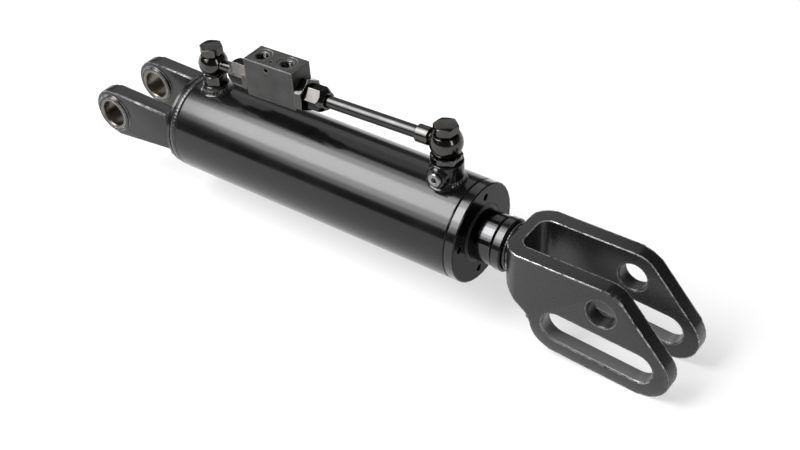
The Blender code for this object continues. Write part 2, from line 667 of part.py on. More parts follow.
def gland(parent):
    bore = ROD_RADIUS + RUNNING_GAP
    body = BORE_RADIUS - SEAT_GAP
    wiper_x = GLAND_FACE_X - WIPER_WIDTH
    seal_end = wiper_x - ROD_SEAL_MARGIN
    seal_x = seal_end - ROD_SEAL_WIDTH
    guide_x = GLAND_NOSE_X + ROD_GUIDE_MARGIN
    guide_end = guide_x + ROD_GUIDE_WIDTH
    ring_x = GLAND_THREAD_X + GLAND_RING_MARGIN
    ring_end = ring_x + GLAND_RING_WIDTH
    profile = [
        (GLAND_NOSE_X, bore),
        (GLAND_NOSE_X, GLAND_NOSE_RADIUS - GLAND_EDGE),
        (GLAND_NOSE_X + GLAND_EDGE, GLAND_NOSE_RADIUS),
        (GLAND_THREAD_X, GLAND_NOSE_RADIUS),
        (GLAND_THREAD_X, body),
        (ring_x, body),
        (ring_x, body - GLAND_RING_DEPTH),
        (ring_end, body - GLAND_RING_DEPTH),
        (ring_end, body),
        (GLAND_SEAT_X, body),
        (GLAND_SEAT_X, BARREL_RADIUS - GLAND_EDGE),
        (GLAND_SEAT_X + GLAND_EDGE, BARREL_RADIUS),
        (GLAND_FACE_X - GLAND_EDGE, BARREL_RADIUS),
        (GLAND_FACE_X, BARREL_RADIUS - GLAND_EDGE),
        (GLAND_FACE_X, bore + WIPER_DEPTH),
        (wiper_x, bore + WIPER_DEPTH),
        (wiper_x, bore),
        (seal_end, bore),
        (seal_end, bore + ROD_SEAL_DEPTH),
        (seal_x, bore + ROD_SEAL_DEPTH),
        (seal_x, bore),
        (guide_end, bore),
        (guide_end, bore + ROD_GUIDE_DEPTH),
        (guide_x, bore + ROD_GUIDE_DEPTH),
        (guide_x, bore),
    ]
    piece = turned("gland", profile, PAINT_SATIN, parent)
    for index in range(SPANNER_HOLE_COUNT):
        angle = SPANNER_FIRST_ANGLE + 2 * pi * index / SPANNER_HOLE_COUNT
        hole_y = SPANNER_CIRCLE_RADIUS * cos(angle)
        hole_z = SPANNER_CIRCLE_RADIUS * sin(angle)
        outline = disc(hole_y, hole_z, SPANNER_HOLE_RADIUS)
        low = GLAND_FACE_X - SPANNER_HOLE_DEPTH
        hole = pushed(f"spanner_hole_{index}", outline, low, GLAND_FACE_X + CUT_MARGIN, None, parent, "X")
        combine(piece, "DIFFERENCE", hole)
    wiper_back = wiper_x + SEAT_GAP
    wiper_outside = bore + WIPER_DEPTH - SEAT_GAP
    wiper_profile = [
        (wiper_back, bore),
        (wiper_back, wiper_outside),
        (GLAND_FACE_X, wiper_outside),
        (GLAND_FACE_X, bore + WIPER_DEPTH / 2),
        (GLAND_FACE_X + WIPER_LIP, bore + WIPER_LIP),
        (GLAND_FACE_X + WIPER_LIP, bore),
    ]
    turned("wiper_seal", wiper_profile, SEAL_RUBBER, parent)
    seal_outside = bore + ROD_SEAL_DEPTH - SEAT_GAP
    seal_middle = (bore + seal_outside) / 2
    notch_x = seal_x + SEAT_GAP
    seal_profile = [
        (notch_x, bore),
        (notch_x, seal_middle - SEAL_NOTCH / 2),
        (notch_x + SEAL_NOTCH, seal_middle),
        (notch_x, seal_middle + SEAL_NOTCH / 2),
        (notch_x, seal_outside),
        (seal_end - SEAT_GAP, seal_outside),
        (seal_end - SEAT_GAP, bore),
    ]
    turned("rod_seal", seal_profile, SEAL_RUBBER, parent)
    guide_profile = sleeve_profile(
        guide_x + SEAT_GAP, guide_end - SEAT_GAP, bore, bore + ROD_GUIDE_DEPTH - SEAT_GAP
    )
    turned("rod_guide_ring", guide_profile, GUIDE_PLASTIC, parent)
    ring_room = BORE_RADIUS - body + GLAND_RING_DEPTH
    ring = ring_profile((ring_x + ring_end) / 2, BORE_RADIUS - ring_room / 2, ring_room / 2 - SEAT_GAP)
    turned("gland_o_ring", ring, SEAL_RUBBER, parent)


def groove_profile(low, high, radius, grooves):
    """The outside of a grooved round, as (along, radius) points. Each groove is (start, end, depth)."""
    profile = [(low, radius)]
    for start, end, depth in grooves:
        profile += [(start, radius), (start, radius - depth), (end, radius - depth), (end, radius)]
    return profile + [(high, radius)]


def piston(parent):
    bore = ROD_SPIGOT_RADIUS + SEAT_GAP
    guide_x = PISTON_BACK_X + PISTON_GUIDE_MARGIN
    guide_end = guide_x + PISTON_GUIDE_WIDTH
    front_end = PISTON_FRONT_X - PISTON_GUIDE_MARGIN
    front_x = front_end - PISTON_GUIDE_WIDTH
    middle = (PISTON_BACK_X + PISTON_FRONT_X) / 2
    seal_x = middle - PISTON_SEAL_WIDTH / 2
    seal_end = middle + PISTON_SEAL_WIDTH / 2
    ring_end = PISTON_FRONT_X - PISTON_RING_MARGIN
    ring_x = ring_end - PISTON_RING_WIDTH
    outside = groove_profile(
        PISTON_BACK_X + PISTON_EDGE,
        PISTON_FRONT_X - PISTON_EDGE,
        PISTON_RADIUS,
        [
            (guide_x, guide_end, PISTON_GUIDE_DEPTH),
            (seal_x, seal_end, PISTON_SEAL_DEPTH),
            (front_x, front_end, PISTON_GUIDE_DEPTH),
        ],
    )
    profile = [(PISTON_BACK_X, bore), (PISTON_BACK_X, PISTON_RADIUS - PISTON_EDGE)] + outside + [
        (PISTON_FRONT_X, PISTON_RADIUS - PISTON_EDGE),
        (PISTON_FRONT_X, bore),
        (ring_end, bore),
        (ring_end, bore + PISTON_RING_DEPTH),
        (ring_x, bore + PISTON_RING_DEPTH),
        (ring_x, bore),
    ]
    turned("piston", profile, BARE_STEEL, parent, "X", INNER_SIDES)
    ring_room = bore + PISTON_RING_DEPTH - ROD_SPIGOT_RADIUS
    ring = ring_profile((ring_x + ring_end) / 2, ROD_SPIGOT_RADIUS + ring_room / 2, ring_room / 2 - SEAT_GAP)
    turned("piston_o_ring", ring, SEAL_RUBBER, parent, "X", INNER_SIDES)
    outer = BORE_RADIUS - RUNNING_GAP
    for name, start, end, depth, finish in (
        ("piston_guide_ring_base", guide_x, guide_end, PISTON_GUIDE_DEPTH, GUIDE_PLASTIC),
        ("piston_seal", seal_x, seal_end, PISTON_SEAL_DEPTH, SEAL_RUBBER),
        ("piston_guide_ring_rod", front_x, front_end, PISTON_GUIDE_DEPTH, GUIDE_PLASTIC),
    ):
        inner = PISTON_RADIUS - depth + SEAT_GAP
        ring_shape = sleeve_profile(start + SEAT_GAP, end - SEAT_GAP, inner, outer)
        turned(name, ring_shape, finish, parent, "X", INNER_SIDES)
    nut_end = NUT_BACK_X + PISTON_NUT_HEIGHT
    nut_outside = flats_profile(PISTON_NUT_FLATS, NUT_BACK_X, nut_end)
    nut_profile = [(NUT_BACK_X, bore)] + nut_outside + [(nut_end, bore)]
    hexagon("piston_nut", PISTON_NUT_FLATS, nut_profile, BLACK_ZINC, parent)


def rod(parent):
    tail = NUT_BACK_X - ROD_TAIL
    shoulder = PISTON_FRONT_X + SEAT_GAP
    neck_end = FORK_BACK_X + FORK_BRIDGE - NECK_FLOOR - SEAT_GAP
    profile = [
        (tail, 0.0),
        (tail, ROD_SPIGOT_RADIUS - ROD_EDGE),
        (tail + ROD_EDGE, ROD_SPIGOT_RADIUS),
        (shoulder, ROD_SPIGOT_RADIUS),
        (shoulder, ROD_RADIUS - ROD_EDGE),
        (shoulder + ROD_EDGE, ROD_RADIUS),
        (ROD_END_X - ROD_EDGE, ROD_RADIUS),
        (ROD_END_X, ROD_RADIUS - ROD_EDGE),
        (ROD_END_X, NECK_SPIGOT_RADIUS),
        (neck_end - ROD_EDGE, NECK_SPIGOT_RADIUS),
        (neck_end, NECK_SPIGOT_RADIUS - ROD_EDGE),
        (neck_end, 0.0),
    ]
    turned("piston_rod", profile, BARE_STEEL, parent)
    hole = NECK_SPIGOT_RADIUS + SEAT_GAP
    collar_end = COLLAR_X + COLLAR_LENGTH
    collar = sleeve_profile(COLLAR_X, collar_end, hole, COLLAR_RADIUS, COLLAR_EDGE)
    turned("neck_collar", collar, PAINT_SATIN, parent)
    weld_end = FORK_WELD_X + FORK_WELD_LENGTH
    bead = [(FORK_WELD_X, hole)]
    for step in range(BEAD_STEPS + 1):
        share = step / BEAD_STEPS
        radius = FORK_WELD_RADIUS - FORK_WELD_DIP * sin(pi * share)
        bead.append((FORK_WELD_X + FORK_WELD_LENGTH * share, radius))
    bead.append((weld_end, hole))
    turned("fork_weld", bead, WELD_METAL, parent, "X", INNER_SIDES)


def fork_outline():
    """The side view of the rod fork, measured from its back face."""
    nose_fall = tan(FORK_NOSE_SLOPE)
    slot_fall = tan(SLOT_SLOPE)
    edge_drop = (SLOT_RADIUS + SLOT_RIM) / cos(SLOT_SLOPE)
    heel = SLOT_START - SLOT_RADIUS - SLOT_RIM

    def bottom(along):
        return -SLOT_DROP - (along - SLOT_START) * slot_fall - edge_drop

    tip = (FORK_TOP + FORK_NOSE_START * nose_fall - bottom(0.0)) / (nose_fall - slot_fall)
    return rounded([
        (0.0, FORK_TOP, FORK_BACK_EDGE_ROUND),
        (FORK_NOSE_START, FORK_TOP, FORK_TOP_ROUND),
        (tip, bottom(tip), FORK_TIP_ROUND),
        (heel, bottom(heel), FORK_HEEL_ROUND),
        (heel, -FORK_HEEL_TOP, FORK_NECK_ROUND),
        (0.0, -FORK_NECK_BOTTOM, FORK_BACK_EDGE_ROUND),
    ])


def rod_fork(parent):
    outline = fork_outline()
    front = max(u for u, _ in outline) + CUT_MARGIN
    low = min(v for _, v in outline) - CUT_MARGIN
    high = FORK_TOP + CUT_MARGIN
    inner = FORK_GAP / 2
    outer = FORK_HALF_WIDTH + PLAN_MARGIN
    back_round = FORK_BACK_ROUND + PLAN_MARGIN
    plan = rounded([
        (-PLAN_MARGIN, -outer, back_round),
        (front, -outer, 0.0),
        (front, -inner, 0.0),
        (FORK_BRIDGE, -inner, FORK_POCKET_ROUND),
        (FORK_BRIDGE, inner, FORK_POCKET_ROUND),
        (front, inner, 0.0),
        (front, outer, 0.0),
        (-PLAN_MARGIN, outer, back_round),
    ])
    fork = pushed(
        "rod_clevis", outline, -FORK_HALF_WIDTH, FORK_HALF_WIDTH, PAINT_SATIN, parent, "Y", FORK_RIM
    )
    combine(fork, "INTERSECT", pushed("fork_plan", plan, low, high, None, parent, "Z"))
    boss_end = FORK_BRIDGE - FORK_BOSS_STEP
    boss_profile = [
        (FORK_BOSS_SETBACK, 0.0),
        (FORK_BOSS_SETBACK, FORK_BOSS_RADIUS - FORK_MOUTH_EDGE),
        (FORK_MOUTH_EDGE, FORK_BOSS_RADIUS),
        (boss_end, FORK_BOSS_RADIUS),
        (boss_end, 0.0),
    ]
    combine(fork, "UNION", turned("fork_neck_boss", boss_profile, None, parent))
    neck_hole = disc(0.0, 0.0, NECK_SPIGOT_RADIUS + SEAT_GAP, INNER_SIDES)
    hole_end = FORK_BRIDGE - NECK_FLOOR
    socket = pushed("fork_neck_socket", neck_hole, -CUT_MARGIN, hole_end, None, parent, "X")
    combine(fork, "DIFFERENCE", socket)

    def pin_outline(growth):
        return disc(FORK_PIN_REACH, -FORK_PIN_DROP, FORK_PIN_RADIUS + growth, INNER_SIDES)

    def slot_outline(growth):
        return capsule(SLOT_START, -SLOT_DROP, SLOT_TRAVEL, -SLOT_SLOPE, SLOT_RADIUS + growth)

    edge = FORK_MOUTH_EDGE
    for side, side_name in ((-1, "near"), (1, "far")):
        layers = [
            (side * (inner - CUT_MARGIN), CUT_MARGIN + edge),
            (side * (inner + edge), 0.0),
            (side * (FORK_HALF_WIDTH - edge), 0.0),
            (side * (FORK_HALF_WIDTH + CUT_MARGIN), CUT_MARGIN + edge),
        ]
        for hole_name, hole_outline in (("pin", pin_outline), ("slot", slot_outline)):
            hole = layered(f"fork_{hole_name}_hole_{side_name}", hole_outline, layers, None, parent, "Y")
            combine(fork, "DIFFERENCE", hole)


def port_boss(name, radius, top, parent):
    """A welded round boss whose foot follows the barrel, with its bore and the seat for the adapter."""
    seat = ADAPTER_SPIGOT_RADIUS + SEAT_GAP
    floor = top - ADAPTER_SPIGOT_LENGTH - SEAT_GAP
    root = BARREL_RADIUS - BOSS_ROOT
    skirt = []
    for step in range(SKIRT_STEPS + 1):
        angle = pi / 2 * step / SKIRT_STEPS
        rise = BOSS_SKIRT_LIP + BOSS_SKIRT_HEIGHT * (1 - cos(angle))
        skirt.append((radius + BOSS_SKIRT * (1 - sin(angle)), rise))
    foot = [(PORT_HOLE_RADIUS, root), (radius + BOSS_SKIRT, root)]
    level = [(radius, top - BOSS_EDGE), (radius - BOSS_EDGE, top), (seat, top), (seat, floor)]
    level.append((PORT_HOLE_RADIUS, floor))
    shape = bmesh.new()
    angles = [2 * pi * k / INNER_SIDES for k in range(INNER_SIDES)]

    def loop(reach, height_at):
        return [
            shape.verts.new((reach * cos(angle), reach * sin(angle), height_at(reach * sin(angle))))
            for angle in angles
        ]

    def flat(height):
        return lambda y: height

    def above_barrel(height):
        return lambda y: sqrt((BARREL_RADIUS + SEAT_GAP) ** 2 - y**2) + height

    loops = [loop(reach, flat(height)) for reach, height in foot]
    loops += [loop(reach, above_barrel(height)) for reach, height in skirt]
    loops += [loop(reach, flat(height)) for reach, height in level]
    skin(shape, loops, True)
    return put_in_scene(name, shape, PAINT_SATIN, parent)


def seat_on_barrel(boss, parent):
    """Cuts the boss's foot to the barrel's round."""
    surface = BARREL_RADIUS + SEAT_GAP
    reach = GLAND_BOSS_RADIUS + 2 * BOSS_SKIRT
    profile = [(-reach, 0.0), (-reach, surface), (reach, surface), (reach, 0.0)]
    combine(boss, "DIFFERENCE", turned(boss.name + "_saddle", profile, None, parent))


def banjo_stack(end, frame, line, flats, collar_radius, height, banjo_radius, boss_top, head_turn):
    """The adapter, banjo body, bolt and two washers above one port. height is the banjo's middle."""
    banjo_low = height - BANJO_HALF_HEIGHT
    banjo_high = height + BANJO_HALF_HEIGHT
    adapter_low = boss_top + SEAT_GAP
    adapter_top = banjo_low - WASHER_STEP
    spigot_low = boss_top - ADAPTER_SPIGOT_LENGTH
    bolt_hole = BOLT_RADIUS + SEAT_GAP
    profile = [(spigot_low, PORT_HOLE_RADIUS), (spigot_low, ADAPTER_SPIGOT_RADIUS)]
    profile.append((adapter_low, ADAPTER_SPIGOT_RADIUS))
    profile += flats_profile(flats, adapter_low, adapter_top)
    bolt_low = adapter_top - BOLT_THREAD_LENGTH
    thread_floor = bolt_low - SEAT_GAP
    profile += [(adapter_top, bolt_hole), (thread_floor, bolt_hole), (thread_floor, PORT_HOLE_RADIUS)]
    adapter = hexagon(end + "_port_adapter", flats, profile, BLACK_ZINC, frame, "Z", ADAPTER_TURN)
    collar_top = adapter_top - ADAPTER_COLLAR_SETBACK
    collar_inside = (bolt_hole + flats / 2) / 2
    collar = sleeve_profile(
        collar_top - ADAPTER_COLLAR_HEIGHT, collar_top, collar_inside, collar_radius, BOSS_EDGE
    )
    combine(adapter, "UNION", turned(end + "_adapter_collar", collar, None, frame, "Z", INNER_SIDES))

    washer_profiles = (
        ("lower", adapter_top + SEAT_GAP, adapter_top + SEAT_GAP + WASHER_THICKNESS),
        ("upper", banjo_high + SEAT_GAP, banjo_high + SEAT_GAP + WASHER_THICKNESS),
    )
    for place, low, top in washer_profiles:
        washer = sleeve_profile(low, top, bolt_hole, WASHER_RADIUS)
        turned(f"{end}_washer_{place}", washer, COPPER, frame, "Z", SMALL_SIDES)

    ball = [(banjo_low, bolt_hole)]
    polar = asin(BANJO_HALF_HEIGHT / banjo_radius)
    for step in range(BALL_STEPS + 1):
        angle = -polar + 2 * polar * step / BALL_STEPS
        ball.append((height + banjo_radius * sin(angle), banjo_radius * cos(angle)))
    ball.append((banjo_high, bolt_hole))
    body = turned(end + "_banjo", ball, BLACK_ZINC, frame, "Z", INNER_SIDES)
    at_base = end == "base"
    centre = 0.0 if at_base else LINE_LENGTH
    reach = BASE_NECK_END if at_base else GLAND_NECK_END
    inside = (bolt_hole + banjo_radius) / 2
    start = centre + inside if at_base else centre - inside
    low, high = sorted((start, reach))
    neck = pushed(end + "_banjo_neck", disc(0.0, 0.0, PIPE_RADIUS), low, high, None, line, "X")
    combine(body, "UNION", neck)
    low, high = sorted((centre, reach + CUT_MARGIN if at_base else reach - CUT_MARGIN))
    passage = disc(0.0, 0.0, BANJO_PASSAGE_RADIUS)
    combine(body, "DIFFERENCE", pushed(end + "_banjo_passage", passage, low, high, None, line, "X"))

    head_low = banjo_high + WASHER_STEP
    head_top = head_low + BOLT_HEAD_HEIGHT
    bolt = [(height + BOLT_BORE_RADIUS, 0.0), (height + BOLT_BORE_RADIUS, BOLT_BORE_RADIUS)]
    bolt += [(bolt_low, BOLT_BORE_RADIUS), (bolt_low, BOLT_RADIUS), (head_low, BOLT_RADIUS)]
    bolt += flats_profile(BOLT_HEAD_FLATS, head_low, head_top) + [(head_top, 0.0)]
    piece = hexagon(end + "_banjo_bolt", BOLT_HEAD_FLATS, bolt, BLACK_ZINC, frame, "Z", head_turn)
    cross = disc(0.0, height, BOLT_CROSS_HOLE_RADIUS)
    cross_low = -BOLT_RADIUS - SEAT_GAP / 2
    cross_hole = pushed(end + "_bolt_cross_hole", cross, cross_low, -cross_low, None, frame, "X")
    combine(piece, "DIFFERENCE", cross_hole)


def bleed_port(boss, parent):
    """The side stub on the gland port boss, and the plug screwed into it."""
    frame = guide_frame("bleed_axis", parent, (0.0, 0.0, GLAND_BOSS_TOP - BLEED_STUB_BELOW_TOP))
    face = -BLEED_STUB_REACH
    root = -(ADAPTER_SPIGOT_RADIUS + BLEED_STUB_ROOT)
    stub_profile = [
        (face, 0.0),
        (face, BLEED_STUB_RADIUS - BLEED_STUB_EDGE),
        (face + BLEED_STUB_EDGE, BLEED_STUB_RADIUS),
        (root, BLEED_STUB_RADIUS),
        (root, 0.0),
    ]
    stub = turned("bleed_stub", stub_profile, None, frame, "Y", INNER_SIDES)
    thread = BLEED_PLUG_THREAD + SEAT_GAP
    floor = face + BLEED_PLUG_DEPTH + SEAT_GAP
    hole_profile = [
        (face - CUT_MARGIN, 0.0),
        (face - CUT_MARGIN, thread),
        (floor, thread),
        (floor, BLEED_PASSAGE_RADIUS),
        (0.0, BLEED_PASSAGE_RADIUS),
        (0.0, 0.0),
    ]
    hole = turned("bleed_hole", hole_profile, None, frame, "Y", SMALL_SIDES)
    combine(boss, "UNION", stub)
    seat_on_barrel(boss, parent)
    combine(boss, "DIFFERENCE", hole)
    head = face - SEAT_GAP - BLEED_PLUG_PROUD
    plug_profile = [
        (head, 0.0),
        (head, BLEED_PLUG_RADIUS - BOSS_EDGE),
        (head + BOSS_EDGE, BLEED_PLUG_RADIUS),
        (face - SEAT_GAP, BLEED_PLUG_RADIUS),
        (face - SEAT_GAP, BLEED_PLUG_THREAD),
        (face + BLEED_PLUG_DEPTH, BLEED_PLUG_THREAD),
        (face + BLEED_PLUG_DEPTH, 0.0),
    ]
    plug = turned("bleed_plug", plug_profile, BLACK_ZINC, frame, "Y", SMALL_SIDES)
    socket = disc(0.0, 0.0, BLEED_SOCKET_FLATS / sqrt(3.0), 6)
    socket_end = head + BLEED_SOCKET_DEPTH
    socket_hole = pushed("bleed_socket", socket, head - CUT_MARGIN, socket_end, None, frame, "Y")
    combine(plug, "DIFFERENCE", socket_hole)


def valve_block(line):
    half_width = BLOCK_WIDTH / 2
    block = box(
        "valve_block",
        (BLOCK_START, -half_width, -BLOCK_BELOW),
        (BLOCK_END, half_width, BLOCK_ABOVE),
        BLOCK_EDGE,
        BLOCK_STEEL,
        line,
    )
    bore_profile = [
        (BLOCK_START - CUT_MARGIN, 0.0),
        (BLOCK_START - CUT_MARGIN, END_BORE_RADIUS),
        (BLOCK_START + END_BORE_DEPTH, END_BORE_RADIUS),
        (BLOCK_START + END_BORE_DEPTH, PILOT_BORE_RADIUS),
        (BLOCK_END - END_BORE_DEPTH, PILOT_BORE_RADIUS),
        (BLOCK_END - END_BORE_DEPTH, END_BORE_RADIUS),
        (BLOCK_END + CUT_MARGIN, END_BORE_RADIUS),
        (BLOCK_END + CUT_MARGIN, 0.0),
    ]
    combine(block, "DIFFERENCE", turned("valve_bore", bore_profile, None, line, "X", INNER_SIDES))
    top = BLOCK_ABOVE
    for name, place in (("base", BASE_SERVICE_PLACE), ("gland", GLAND_SERVICE_PLACE)):
        port = guide_frame(name + "_service_port", line, (place, 0.0, 0.0))
        port_profile = [
            (top + CUT_MARGIN, 0.0),
            (top + CUT_MARGIN, SERVICE_FACE_RADIUS),
            (top - SERVICE_FACE_DEPTH, SERVICE_FACE_RADIUS),
            (top - SERVICE_FACE_DEPTH, SERVICE_PORT_RADIUS + SERVICE_PORT_MOUTH),
            (top - SERVICE_FACE_DEPTH - SERVICE_PORT_MOUTH, SERVICE_PORT_RADIUS),
            (top - SERVICE_PORT_DEPTH, SERVICE_PORT_RADIUS),
            (top - SERVICE_PORT_DEPTH, SERVICE_DRILL_RADIUS),
            (0.0, SERVICE_DRILL_RADIUS),
            (0.0, 0.0),
        ]
        hole = turned(name + "_service_hole", port_profile, None, port, "Z", INNER_SIDES)
        combine(block, "DIFFERENCE", hole)
    cross = disc(PORTS_MIDDLE, top - CROSS_HOLE_BELOW_TOP, CROSS_HOLE_RADIUS)
    reach = half_width + CUT_MARGIN
    combine(block, "DIFFERENCE", pushed("block_cross_hole", cross, -reach, reach, None, line, "Y"))
    dimple = disc(PORTS_MIDDLE, TOP_DIMPLE_SIDE, TOP_DIMPLE_RADIUS)
    low = top - TOP_DIMPLE_DEPTH
    combine(block, "DIFFERENCE", pushed("block_top_dimple", dimple, low, top + CUT_MARGIN, None, line, "Z"))


def check_spring(name, start, end, line):
    """A coil of round wire between two places along the line."""
    low, high = sorted((start, end))
    travel = high - low - 2 * SPRING_WIRE_RADIUS
    steps = SPRING_TURNS * SPRING_TURN_STEPS
    shape = bmesh.new()
    loops = []
    for step in range(steps + 1):
        turn = 2 * pi * step / SPRING_TURN_STEPS
        middle = low + SPRING_WIRE_RADIUS + travel * step / steps
        loop = []
        for k in range(RING_SIDES):
            angle = 2 * pi * k / RING_SIDES
            reach = SPRING_MEAN_RADIUS + SPRING_WIRE_RADIUS * cos(angle)
            along = middle + SPRING_WIRE_RADIUS * sin(angle)
            loop.append(shape.verts.new((along, reach * cos(turn), reach * sin(turn))))
        loops.append(loop)
    skin(shape, loops, False)
    put_in_scene(name, shape, BARE_STEEL, line)


def check_valve(end, flats, hex_length, nut_cone, line):
    """The seat, poppet, spring, union adapter and union nut at one end of the valve block.

    Places are depths into the block from its end face, so what stands outside it is below 0.
    """
    inward = 1 if end == "base" else -1
    face = BLOCK_START if end == "base" else BLOCK_END

    def along(points):
        return [(face + inward * depth, radius) for depth, radius in points]

    seat_low = END_BORE_DEPTH + SEAT_GAP
    seat_outside = PILOT_BORE_RADIUS - SEAT_GAP
    seat = sleeve_profile(seat_low, seat_low + SEAT_THICKNESS, SEAT_HOLE_RADIUS, seat_outside)
    turned(end + "_check_seat", along(seat), BARE_STEEL, line, "X", SMALL_SIDES)
    shoulder = seat_low - SEAT_GAP
    back = shoulder - POPPET_BODY
    poppet = [
        (shoulder + POPPET_NOSE, 0.0),
        (shoulder + POPPET_NOSE, POPPET_NOSE_RADIUS / 2),
        (shoulder, POPPET_NOSE_RADIUS),
        (shoulder, POPPET_RADIUS),
        (back, POPPET_RADIUS),
        (back, POPPET_STEM_RADIUS),
        (back - POPPET_STEM_LENGTH, POPPET_STEM_RADIUS),
        (back - POPPET_STEM_LENGTH, 0.0),
    ]
    turned(end + "_check_poppet", along(poppet), BARE_STEEL, line, "X", SMALL_SIDES)
    spring_start = back - SEAT_GAP
    spring_end = spring_start - SPRING_LENGTH
    check_spring(end + "_check_spring", face + inward * spring_start, face + inward * spring_end, line)
    room_end = spring_end - SEAT_GAP
    adapter_inner = END_BORE_DEPTH - SEAT_GAP
    hex_outer = -SEAT_GAP - hex_length
    thread_outer = hex_outer - UNION_OUTER_THREAD_LENGTH
    adapter = [
        (adapter_inner, UNION_BORE_RADIUS),
        (adapter_inner, END_BORE_RADIUS - SEAT_GAP),
        (-SEAT_GAP, END_BORE_RADIUS - SEAT_GAP),
    ]
    adapter += flats_profile(flats, hex_outer, -SEAT_GAP)[::-1]
    adapter += [
        (hex_outer, UNION_OUTER_THREAD_RADIUS),
        (thread_outer, UNION_OUTER_THREAD_RADIUS),
        (thread_outer, UNION_PASSAGE_RADIUS),
        (room_end, UNION_PASSAGE_RADIUS),
        (room_end, UNION_BORE_RADIUS),
    ]
    hexagon(end + "_union_adapter", flats, along(adapter), BLACK_ZINC, line, "X", UNION_TURN)
    nut_inner = hex_outer - SEAT_GAP
    nut_shoulder = nut_inner - NUT_LENGTH + nut_cone
    nut_outer = nut_inner - NUT_LENGTH
    thread_room = thread_outer - SEAT_GAP
    outside = flats_profile(NUT_FLATS, nut_shoulder, nut_inner)[::-1][:3]
    nut = [(nut_inner, UNION_OUTER_THREAD_RADIUS + SEAT_GAP)] + outside
    nut += [
        (nut_shoulder - nut_cone / 2, NUT_FLATS / 2 * NUT_CONE_SHARE),
        (nut_outer, NUT_MOUTH_RADIUS),
        (nut_outer, PIPE_RADIUS + SEAT_GAP),
        (thread_room, PIPE_RADIUS + SEAT_GAP),
        (thread_room, UNION_OUTER_THREAD_RADIUS + SEAT_GAP),
    ]
    hexagon(end + "_union_nut", NUT_FLATS, along(nut), BLACK_ZINC, line, "X", NUT_TURN)


def pilot_piston(line):
    """The double-ended piston whose pins push the check poppets off their seats."""
    nose_depth = END_BORE_DEPTH + POPPET_NOSE
    pin_reach = BLOCK_LENGTH / 2 - nose_depth - PILOT_TRAVEL - SEAT_GAP
    half = PILOT_LENGTH / 2
    radius = PILOT_BORE_RADIUS - RUNNING_GAP
    profile = [
        (BLOCK_MIDDLE - pin_reach, 0.0),
        (BLOCK_MIDDLE - pin_reach, PILOT_PIN_RADIUS),
        (BLOCK_MIDDLE - half, PILOT_PIN_RADIUS),
        (BLOCK_MIDDLE - half, radius),
        (BLOCK_MIDDLE + half, radius),
        (BLOCK_MIDDLE + half, PILOT_PIN_RADIUS),
        (BLOCK_MIDDLE + pin_reach, PILOT_PIN_RADIUS),
        (BLOCK_MIDDLE + pin_reach, 0.0),
    ]
    turned("pilot_piston", profile, BARE_STEEL, line, "X", SMALL_SIDES)


def pipe_run(line):
    """The pipe from the gland-side union to the gland banjo, and the sleeve over its joint."""
    start = BLOCK_END + SEAT_GAP + GLAND_UNION_HEX + UNION_OUTER_THREAD_LENGTH + SEAT_GAP
    end = GLAND_NECK_END - SEAT_GAP
    pipe = sleeve_profile(start, end, PIPE_RADIUS - PIPE_WALL, PIPE_RADIUS)
    turned("valve_pipe", pipe, BLACK_ZINC, line, "X", INNER_SIDES)
    sleeve_end = LINE_LENGTH - GLAND_BANJO_RADIUS - SEAT_GAP
    sleeve_start = sleeve_end - SLEEVE_LENGTH
    sleeve = sleeve_profile(sleeve_start, sleeve_end, PIPE_RADIUS + SEAT_GAP, SLEEVE_RADIUS, BOSS_EDGE)
    turned("pipe_sleeve", sleeve, BLACK_ZINC, line, "X", INNER_SIDES)


def main():
    clear_scene()
    fork_points = fork_outline()
    fork_tip = FORK_BACK_X + max(u for u, _ in fork_points)
    ear_tip = min(u for u, _ in ear_outline())
    axis_height = -min(v for _, v in fork_points)
    root = guide_frame("lift_rod_frame", None, (-(ear_tip + fork_tip) / 2, 0.0, axis_height))

    barrel(root)
    base_cap(root)
    base_pin = guide_frame("base_pin_axis", root, (BASE_PIN_X, 0.0, 0.0))
    base_ear("near", -1, root, base_pin)
    base_ear("far", 1, root, base_pin)
    gland(root)

    rod_axis = guide_frame("rod_axis", root)
    piston(rod_axis)
    rod(rod_axis)
    rod_fork(guide_frame("fork_back", rod_axis, (FORK_BACK_X, 0.0, 0.0)))

    base_port = guide_frame("base_port_axis", root, (BASE_PORT_X, 0.0, 0.0))
    gland_port = guide_frame("gland_port_axis", root, (GLAND_PORT_X, 0.0, 0.0))
    line = guide_frame("valve_line", root, (BASE_PORT_X, 0.0, BASE_BANJO_HEIGHT), (0.0, -LINE_SLOPE, 0.0))
    seat_on_barrel(port_boss("base_port_boss", BASE_BOSS_RADIUS, BASE_BOSS_TOP, base_port), base_port)
    gland_boss = port_boss("gland_port_boss", GLAND_BOSS_RADIUS, GLAND_BOSS_TOP, gland_port)
    bleed_port(gland_boss, gland_port)
    banjo_stack(
        "base", base_port, line, BASE_ADAPTER_FLATS, BASE_COLLAR_RADIUS,
        BASE_BANJO_HEIGHT, BASE_BANJO_RADIUS, BASE_BOSS_TOP, BASE_HEAD_TURN,
    )
    banjo_stack(
        "gland", gland_port, line, GLAND_ADAPTER_FLATS, GLAND_COLLAR_RADIUS,
        GLAND_BANJO_HEIGHT, GLAND_BANJO_RADIUS, GLAND_BOSS_TOP, GLAND_HEAD_TURN,
    )
    valve_block(line)
    check_valve("base", BASE_UNION_FLATS, BASE_UNION_HEX, BASE_NUT_CONE, line)
    check_valve("gland", GLAND_UNION_FLATS, GLAND_UNION_HEX, GLAND_NUT_CONE, line)
    pilot_piston(line)
    pipe_run(line)


main()
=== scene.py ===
"""Studio scene for the hydraulic lift rod: finishes, weld beads, port threads, light and camera."""

import json
from functools import cached_property
from math import cos, pi, radians, sin, sqrt

import bmesh
import bpy
from mathutils import Matrix, Vector


